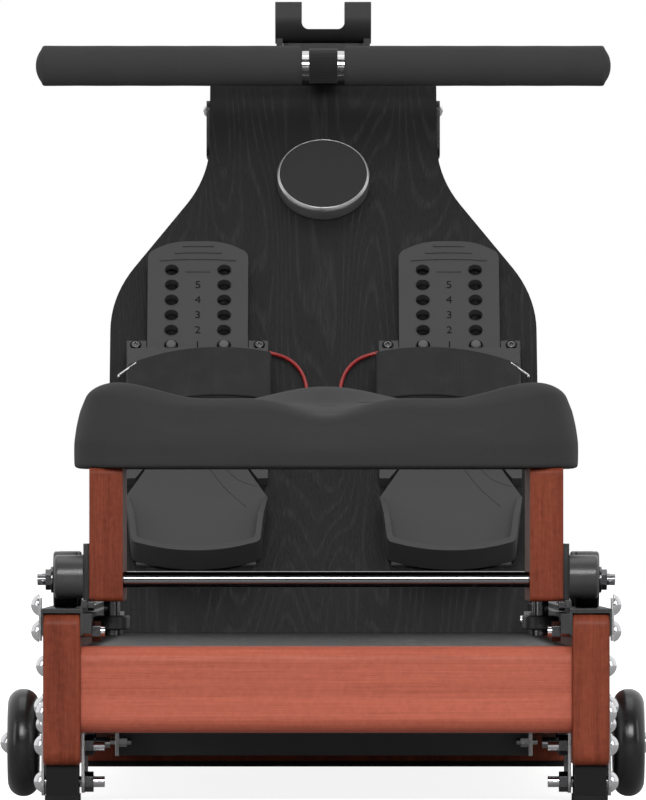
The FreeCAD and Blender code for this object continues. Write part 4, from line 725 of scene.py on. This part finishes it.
def dial():
    """Black-faced dial with a bright bevelled rim over a satin, finely knurled side."""
    low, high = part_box("resistance_dial")
    radius = (high.x - low.x) / 2
    base, top, rim, bore = 0.0003, 0.0165, 0.0021, 0.004
    skirt, groove = radius - 0.0006, top - 0.0034
    neck, under_face = radius - 0.0011, 0.03
    place = BOARD @ Matrix.Translation((0, DIAL_UP, 0))
    side = [(bore, base), (radius - 0.0015, base), (skirt, base + 0.0012)]
    side += [(skirt, groove - 0.0005), (skirt - 0.0007, groove - 0.0001), (bore, groove)]
    ribs = knurl(skirt, base + 0.0018, groove - 0.0009, place)
    piece = mesh_piece("dial_side", [turned(side, place, 240), ribs], "dial_metal", "dial", crisp=35)
    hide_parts("resistance_dial")
    bevel = [(under_face, groove - 0.0002), (neck, groove - 0.0002), (neck, groove + 0.0003)]
    bevel += [(radius - 0.0002, groove + 0.0006), (radius - 0.0001, groove + 0.0012)]
    bevel += [(radius - rim + 0.0005, top - 0.0001), (radius - rim + 0.0002, top)]
    bevel += [(radius - rim, top - 0.0002), (radius - rim, top - 0.0010), (under_face, top - 0.0012)]
    mesh_piece("dial_rim", [turned(bevel, place, 240)], "dial_metal", "dial", DIAL_RIM, crisp=35)
    reach = radius - rim - 0.0001
    face = [(0.001, top - 0.0011), (reach, top - 0.0011), (reach, top - 0.0007)]
    face += [(reach - 0.0004, top - 0.0004), (0.02, top - 0.0003), (0.0005, top - 0.0003)]
    mesh_piece("dial_face", [turned(face, place, 160)], "dial_metal", "dial", DIAL_FACE, crisp=35)


def knurl(radius, low, high, place, count=180):
    """Band of fine upright ribs round a dial's side."""
    depth, sunk, fade = 0.0003, 0.00005, 0.0004
    rings = []
    for z, share in ((low, 0), (low + fade, 1), (high - fade, 1), (high, 0)):
        reach = [radius + depth * share * (i % 2) - sunk for i in range(2 * count)]
        rings.append(level_ring(place, reach, z))
    return rings_mesh(rings, caps=False)


# ---------------------------------------------------------------- foot straps and cords

PULL_CORD_ROUTE = (
    (0.0468, 0.300),
    (0.0360, 0.297),
    (0.0260, 0.290),
    (0.0185, 0.279),
    (0.0145, 0.265),
    (0.0140, 0.250),
    (0.0180, 0.236),
    (0.0260, 0.224),
    (0.0360, 0.216),
    (0.0468, 0.212),
)
CORD_OUT = 0.00195
CORD_RADIUS = 0.0016


def pull_cord(side, sign):
    """Red pull cord that loops out of the foot rest's inner side and back into it."""
    points = [on_board(sign * x, up, CORD_OUT) for x, up in PULL_CORD_ROUTE]
    curve = bpy.data.curves.new(f"{side}_cord", "CURVE")
    curve.dimensions = "3D"
    curve.bevel_depth = CORD_RADIUS
    curve.bevel_resolution = 6
    curve.resolution_u = 24
    curve.use_fill_caps = True
    spline = curve.splines.new("NURBS")
    spline.points.add(len(points) - 1)
    for spot, point in zip(spline.points, points):
        spot.co = (*point, 1)
    spline.order_u = 3
    spline.use_endpoint_u = True
    curve.materials.append(FINISHES["red_cord"])
    piece = bpy.data.objects.new(f"{side}_cord", curve)
    bpy.context.scene.collection.objects.link(piece)
    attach(piece, "frame")
    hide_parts(f"{side}_pull_cord")


def foot_place(side):
    """Frame of one foot rest: x across it, y up the board, z out of the board."""
    low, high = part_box(f"{side}_foot_slider")
    return BOARD @ Matrix.Translation(((low.x + high.x) / 2, 0, 0))


def slider_ridges(side):
    """Three ridges at a slider's toe end, and the bar over its scale."""
    place = foot_place(side)
    scale_bar = FIRST_HOLE + 4.9 * HOLE_PITCH
    bevel = 0.0005
    ridges = []
    for half, up, thick, arch, rise in (
        (0.0134, 0.4108, 0.0017, 0.0003, 0.0009),
        (0.0203, 0.4032, 0.0017, 0.0008, 0.0009),
        (0.0329, 0.395, 0.0017, 0.0018, 0.0009),
        (0.0106, scale_bar, 0.0016, 0.0, 0.0008),
    ):
        here = place @ Matrix.Translation((0, up, 0))
        outline = bar_loop(half, thick, arch)
        ridges.append(raised(outline, SLIDER_TOP, SLIDER_TOP + rise, bevel, here))
    mesh_piece(f"{side}_slider_ridges", ridges, "slider_plastic", f"{side}_slider", crisp=50)


def hole_rims(side):
    """Low rounded lip round each of a slider's holes."""
    place = foot_place(side)
    lip = [(0.0059, -0.001), (0.0059, 0.0002), (0.0062, 0.00035), (0.0066, 0.0002), (0.0068, -0.001)]
    rims = []
    for step in range(HOLES):
        for column in (-1, 1):
            up = FIRST_HOLE + step * HOLE_PITCH
            spot = place @ Matrix.Translation((column * HOLE_OUT, up, SLIDER_TOP))
            rims.append(turned(lip, spot, 40, hollow=True))
    mesh_piece(f"{side}_hole_rims", rims, "slider_plastic", f"{side}_slider")


def slider_numbers(side):
    """The scale's numbers, one between each pair of holes but the last."""
    place = foot_place(side)
    ink_depth = 0.0001
    for number in range(1, HOLES):
        text = bpy.data.curves.new(f"{side}_number_{number}", "FONT")
        text.body = str(number)
        text.size = 0.0112
        text.extrude = ink_depth
        text.align_x = "CENTER"
        text.align_y = "CENTER"
        text.materials.append(DARK_INK_AND_SHADE)
        mark = bpy.data.objects.new(f"{side}_number_{number}", text)
        up = FIRST_HOLE + (number - 1) * HOLE_PITCH
        mark.matrix_world = place @ Matrix.Translation((0, up, SLIDER_TOP + ink_depth))
        bpy.context.scene.collection.objects.link(mark)
        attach(mark, f"{side}_slider")


def heel_details(side):
    """Flange under the heel cup, and dark ribbons on the two curved grooves moulded across its floor,
    painted shade for the grooves.
    """
    place = foot_place(side)
    half, low, high = 0.0505, 0.0697, 0.1
    flange = [(half, low), (half, high), (-half, high), (-half, low)]
    shell = raised(flange, 0.0008, 0.0041, 0.0006, place)
    mesh_piece(f"{side}_heel_flange", [shell], "slider_plastic", f"{side}_slider", crisp=40)
    # Each groove is drawn as a low dark ribbon on the floor: painted shade, not a cut.
    section = [(-0.0005, -0.0002), (0, 0.00014), (0.0005, -0.0002)]
    lines = []
    for course in (
        ((0.004, 0.178), (0.0115, 0.1665), (0.0248, 0.1455), (0.0418, 0.1265)),
        ((0.017, 0.176), (0.0253, 0.1665), (0.0358, 0.155), (0.0513, 0.148)),
    ):
        spots = [place @ Vector((x, up, SLIDER_TOP)) for x, up in smooth_course(course)]
        lines.append(swept(spots, section, ACROSS))
    mesh_piece(f"{side}_heel_groove_shade", lines, "slider_plastic", f"{side}_slider", DARK_INK_AND_SHADE)


def smooth_course(points, steps=8):
    """A curve through points, by Catmull and Rom's formula."""
    padded = [points[0], *points, points[-1]]
    course = []
    for a, b, c, d in zip(padded, padded[1:], padded[2:], padded[3:]):
        a, b, c, d = (np.array(p) for p in (a, b, c, d))
        for i in range(steps):
            t = i / steps
            course.append(0.5 * (2 * b + (c - a) * t + (2 * a - 5 * b + 4 * c - d) * t**2
                                 + (3 * b - a - 3 * c + d) * t**3))
    return course + [np.array(points[-1])]


def cross_head(place, radius, height):
    """Round screw head with a cross recess in its top."""
    count = 48
    arm, width = radius * 0.62, radius * 0.2

    def cross(angle):
        off = abs((angle + math.pi / 4) % (math.pi / 2) - math.pi / 4)
        return min(arm / math.cos(off), width / max(math.sin(off), 1e-6))

    recess = [cross(math.tau * i / count) for i in range(count)]
    levels = [
        ([radius] * count, 0),
        ([radius] * count, height * 0.5),
        ([radius * 0.86] * count, height),
        (recess, height),
        ([reach * 0.8 for reach in recess], height * 0.2),
    ]
    return rings_mesh([level_ring(place, reach, z) for reach, z in levels])


def base_details(side):
    """Pins that pass through a slider's first holes, and the screws at the base's upper corners."""
    place = foot_place(side)
    screw_out, screw_up, screw_radius, screw_height = 0.0527, 0.3012, 0.0038, 0.0014
    pin = [(0.0042, 0.0035), (0.0042, 0.0122), (0.0039, 0.0129), (0.0032, 0.0132), (0.001, 0.0133)]
    dish = [(0.0039, -0.0006), (0.0040, 0.0004), (0.0048, 0.0005), (0.0051, -0.0006)]
    pins, screws, washers = [], [], []
    for column in (-1, 1):
        spot = place @ Matrix.Translation((column * HOLE_OUT, FIRST_HOLE, 0))
        pins.append(turned(pin, spot, 32))
        corner = place @ Matrix.Translation((column * screw_out, screw_up, BASE_TOP))
        screws.append(cross_head(corner, screw_radius, screw_height))
        washers.append(turned(dish, corner, 40, hollow=True))
    mesh_piece(f"{side}_base_pins", pins, "foot_base_plastic", "frame", PIN_GREY)
    mesh_piece(f"{side}_base_screws", screws, "bolt_steel", "frame", DARK_NUTS, crisp=40)
    mesh_piece(f"{side}_screw_seats", washers, "foot_base_plastic", "frame", DARK_INK_AND_SHADE)


def arc_through(first, middle, last, steps):
    """Points along the circle through three 2D points."""
    (ax, ay), (bx, by), (cx, cy) = first, middle, last
    d = 2 * (ax * (by - cy) + bx * (cy - ay) + cx * (ay - by))
    a2, b2, c2 = ax * ax + ay * ay, bx * bx + by * by, cx * cx + cy * cy
    ux = (a2 * (by - cy) + b2 * (cy - ay) + c2 * (ay - by)) / d
    uy = (a2 * (cx - bx) + b2 * (ax - cx) + c2 * (bx - ax)) / d
    start, end = math.atan2(ay - uy, ax - ux), math.atan2(cy - uy, cx - ux)
    r = math.hypot(ax - ux, ay - uy)
    angles = [start + (end - start) * i / steps for i in range(steps + 1)]
    return [(ux + r * math.cos(a), uy + r * math.sin(a)) for a in angles]


def foot_strap(side, sign):
    """Wide band arched over a foot rest, upright at its inner side, ribbed over its middle."""
    place = foot_place(side)
    thick, edge, low_up, high_up = 0.0026, 0.0006, 0.222, 0.274
    rib_height, rib_pitch, ribbed_half, ribs_fade = 0.00022, 0.00245, 0.015, 0.004
    core = Vector((0, 0.012))
    inner = (-sign * 0.0620, 0.0347)
    crown = (-sign * 0.020, 0.0415)
    outer = (sign * 0.0573, 0.0187)
    upright = [(inner[0], 0.0005 + (inner[1] - 0.0022) * i / 12) for i in range(13)]
    arch = arc_through(inner, crown, outer, 240)
    tail = [(outer[0], outer[1] - 0.001 - (outer[1] - 0.0144) * i / 4) for i in range(5)]
    course = upright + arch[2:-1] + tail
    rings = []
    travelled = 0.0
    for i, (x, out) in enumerate(course):
        before, after = course[max(i - 1, 0)], course[min(i + 1, len(course) - 1)]
        travelled += math.dist((x, out), course[max(i - 1, 0)])
        run = Vector((after[0] - before[0], after[1] - before[1])).normalized()
        away = Vector((-run.y, run.x))
        if away.dot(Vector((x, out)) - core) < 0:
            away = -away
        middle = smooth((ribbed_half - abs(x + sign * 0.002)) / ribs_fade)
        rib = rib_height * middle * math.sin(math.tau * travelled / rib_pitch)
        top, bottom = thick / 2 + rib, -thick / 2
        section = [
            (low_up, bottom + edge), (low_up, top - edge), (low_up + edge, top),
            (high_up - edge, top), (high_up, top - edge), (high_up, bottom + edge),
            (high_up - edge, bottom), (low_up + edge, bottom),
        ]
        rings.append([place @ Vector((x + away.x * o, up, out + away.y * o)) for up, o in section])
    piece = mesh_piece(f"{side}_foot_strap", [rings_mesh(rings)], "strap_webbing", "frame", FOOT_BAND, 40)
    if side == "left":
        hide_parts("foot_straps")


def strap_buckle(side, sign):
    """Two chrome wire hooks that hold the strap's outer end."""
    place = foot_place(side)
    near, far, wire = (0.0505, 0.0235), (0.0668, 0.0128), 0.0011
    normal = (BOARD.to_3x3() @ Vector((0.5, 0, 0.85))).normalized()
    hooks = []
    for up, turn in ((0.2725, -1), (0.2235, 1)):
        corners = [(near, up), (far, up + turn * 0.006), (far, up + turn * 0.008)]
        points = [place @ Vector((sign * x, along, out)) for (x, out), along in corners]
        path = []
        for first, second in zip(points, points[1:]):
            path += [first.lerp(second, share) for share in (0.06, 0.2, 0.5, 0.8, 0.94)]
        hooks.append(swept(path, round_section(wire), normal))
    mesh_piece(f"{side}_strap_buckle", hooks, "bright_steel", "frame", WIRE_CHROME)


def stop_heads():
    """Domed bolt heads outside the stop plates, level with the studs inside them."""
    plates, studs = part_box("stop_plates"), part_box("stop_studs")
    rise, radius, steps = 0.0058, 0.008, 12
    height = (studs[0].z + studs[1].z) / 2
    half_depth = 0.011
    ball = (radius**2 + rise**2) / (2 * rise)
    lean = math.asin(radius / ball)
    dome = [(radius - 0.0004, -0.0003)]
    for i in range(steps + 1):
        angle = lean * (1 - i / steps)
        dome.append((max(ball * math.sin(angle), 0.0001), rise - ball + ball * math.cos(angle)))
    for side, sign in SIDES:
        heads = []
        for along in (plates[0].y + half_depth, plates[1].y - half_depth):
            turn = Matrix.Rotation(sign * math.pi / 2, 4, "Y")
            place = Matrix.Translation((sign * plates[1].x, along, height)) @ turn
            heads.append(turned(dome, place, 48))
        mesh_piece(f"{side}_stop_heads", heads, "bolt_steel", "frame")


# ---------------------------------------------------------------- stage


def aim_light(name, place, target, size, power, tall=None):
    data = bpy.data.lights.new(name, "AREA")
    data.shape = "RECTANGLE"
    data.size = size
    data.size_y = tall or size
    data.energy = power
    lamp = bpy.data.objects.new(name, data)
    lamp.location = place
    lamp.rotation_euler = (Vector(target) - Vector(place)).to_track_quat("-Z", "Y").to_euler()
    bpy.context.scene.collection.objects.link(lamp)


def surround():
    """White surround for the camera; lit surfaces see it dark in front and bright behind."""
    world = bpy.data.worlds.new("surround")
    world.use_nodes = True
    tree = world.node_tree
    links, add = tree.links.new, tree.nodes.new
    heading = add("ShaderNodeSeparateXYZ")
    links(add("ShaderNodeTexCoord").outputs["Generated"], heading.inputs[0])
    level = add("ShaderNodeMapRange")
    level.interpolation_type = "SMOOTHSTEP"
    links(heading.outputs["Y"], level.inputs["Value"])
    limits = {"From Min": -0.6, "From Max": 0.25, "To Min": 0.06, "To Max": 0.9}
    for name, amount in limits.items():
        level.inputs[name].default_value = amount
    seen = add("ShaderNodeMix")
    links(add("ShaderNodeLightPath").outputs["Is Camera Ray"], seen.inputs["Factor"])
    links(level.outputs["Result"], seen.inputs["A"])
    seen.inputs["B"].default_value = 1.0
    links(seen.outputs["Result"], tree.nodes["Background"].inputs["Strength"])
    tree.nodes["Background"].inputs["Color"].default_value = (1, 1, 1, 1)
    bpy.context.scene.world = world


def studio():
    """Pale lit floor, soft boxes in front, at both sides and overhead, and a white surround."""
    reach = 40
    corners = [(-reach, -reach, 0), (reach, -reach, 0), (reach, reach, 0), (-reach, reach, 0)]
    mesh = bpy.data.meshes.new("floor")
    mesh.from_pydata(corners, [], [(0, 1, 2, 3)])
    f = Finish("floor_paint")
    seen = f.node("ShaderNodeLightPath", {}).outputs["Is Camera Ray"]
    paint = f.blend(f.noise(0.6, 4), (0.78, 0.78, 0.78), (0.84, 0.84, 0.84))
    f.shade(
        base_color=f.blend(seen, (0.3, 0.3, 0.3), paint),
        roughness=f.ramp(f.noise(0.05, 3), 0.6, 0.75),
        emission_color=(1, 1, 1, 1),
        emission_strength=f.ramp(seen, 0.05, 0.88),
    )
    mesh.materials.append(f.material)
    floor = bpy.data.objects.new("floor", mesh)
    bpy.context.scene.collection.objects.link(floor)
    surround()
    aim_light("overhead", (0, -0.4, 3.4), (0, 0, 0), 2.4, 16)
    aim_light("front_box", (0.3, -5.6, 2.5), (0, 0, 0.3), 4.0, 215, 1.6)
    aim_light("left_box", (-3.4, -2.6, 1.2), (0, -0.4, 0.3), 1.0, 20, 2.4)
    aim_light("right_box", (3.4, -2.4, 1.4), (0, -0.2, 0.3), 1.0, 15, 2.4)
    bpy.context.scene.view_settings.view_transform = "Standard"


def camera():
    """A long lens behind the seat, low and almost level, looking along the rails."""
    data = bpy.data.cameras.new("camera")
    data.lens = 540
    data.clip_end = 60
    eye = bpy.data.objects.new("camera", data)
    eye.location = (-0.014, -9.65, 0.194)
    eye.rotation_euler = (math.radians(90.645), 0, math.radians(-0.076))
    bpy.context.scene.collection.objects.link(eye)
    bpy.context.scene.camera = eye


camera()
for side, sign in SIDES:
    pull_cord(side, sign)
seat_cushion()
grips()
handle_loop()
pull_strap()
dial()
for side, sign in SIDES:
    slider_ridges(side)
    hole_rims(side)
    slider_numbers(side)
    heel_details(side)
    base_details(side)
    foot_strap(side, sign)
    strap_buckle(side, sign)
stop_heads()
studio()
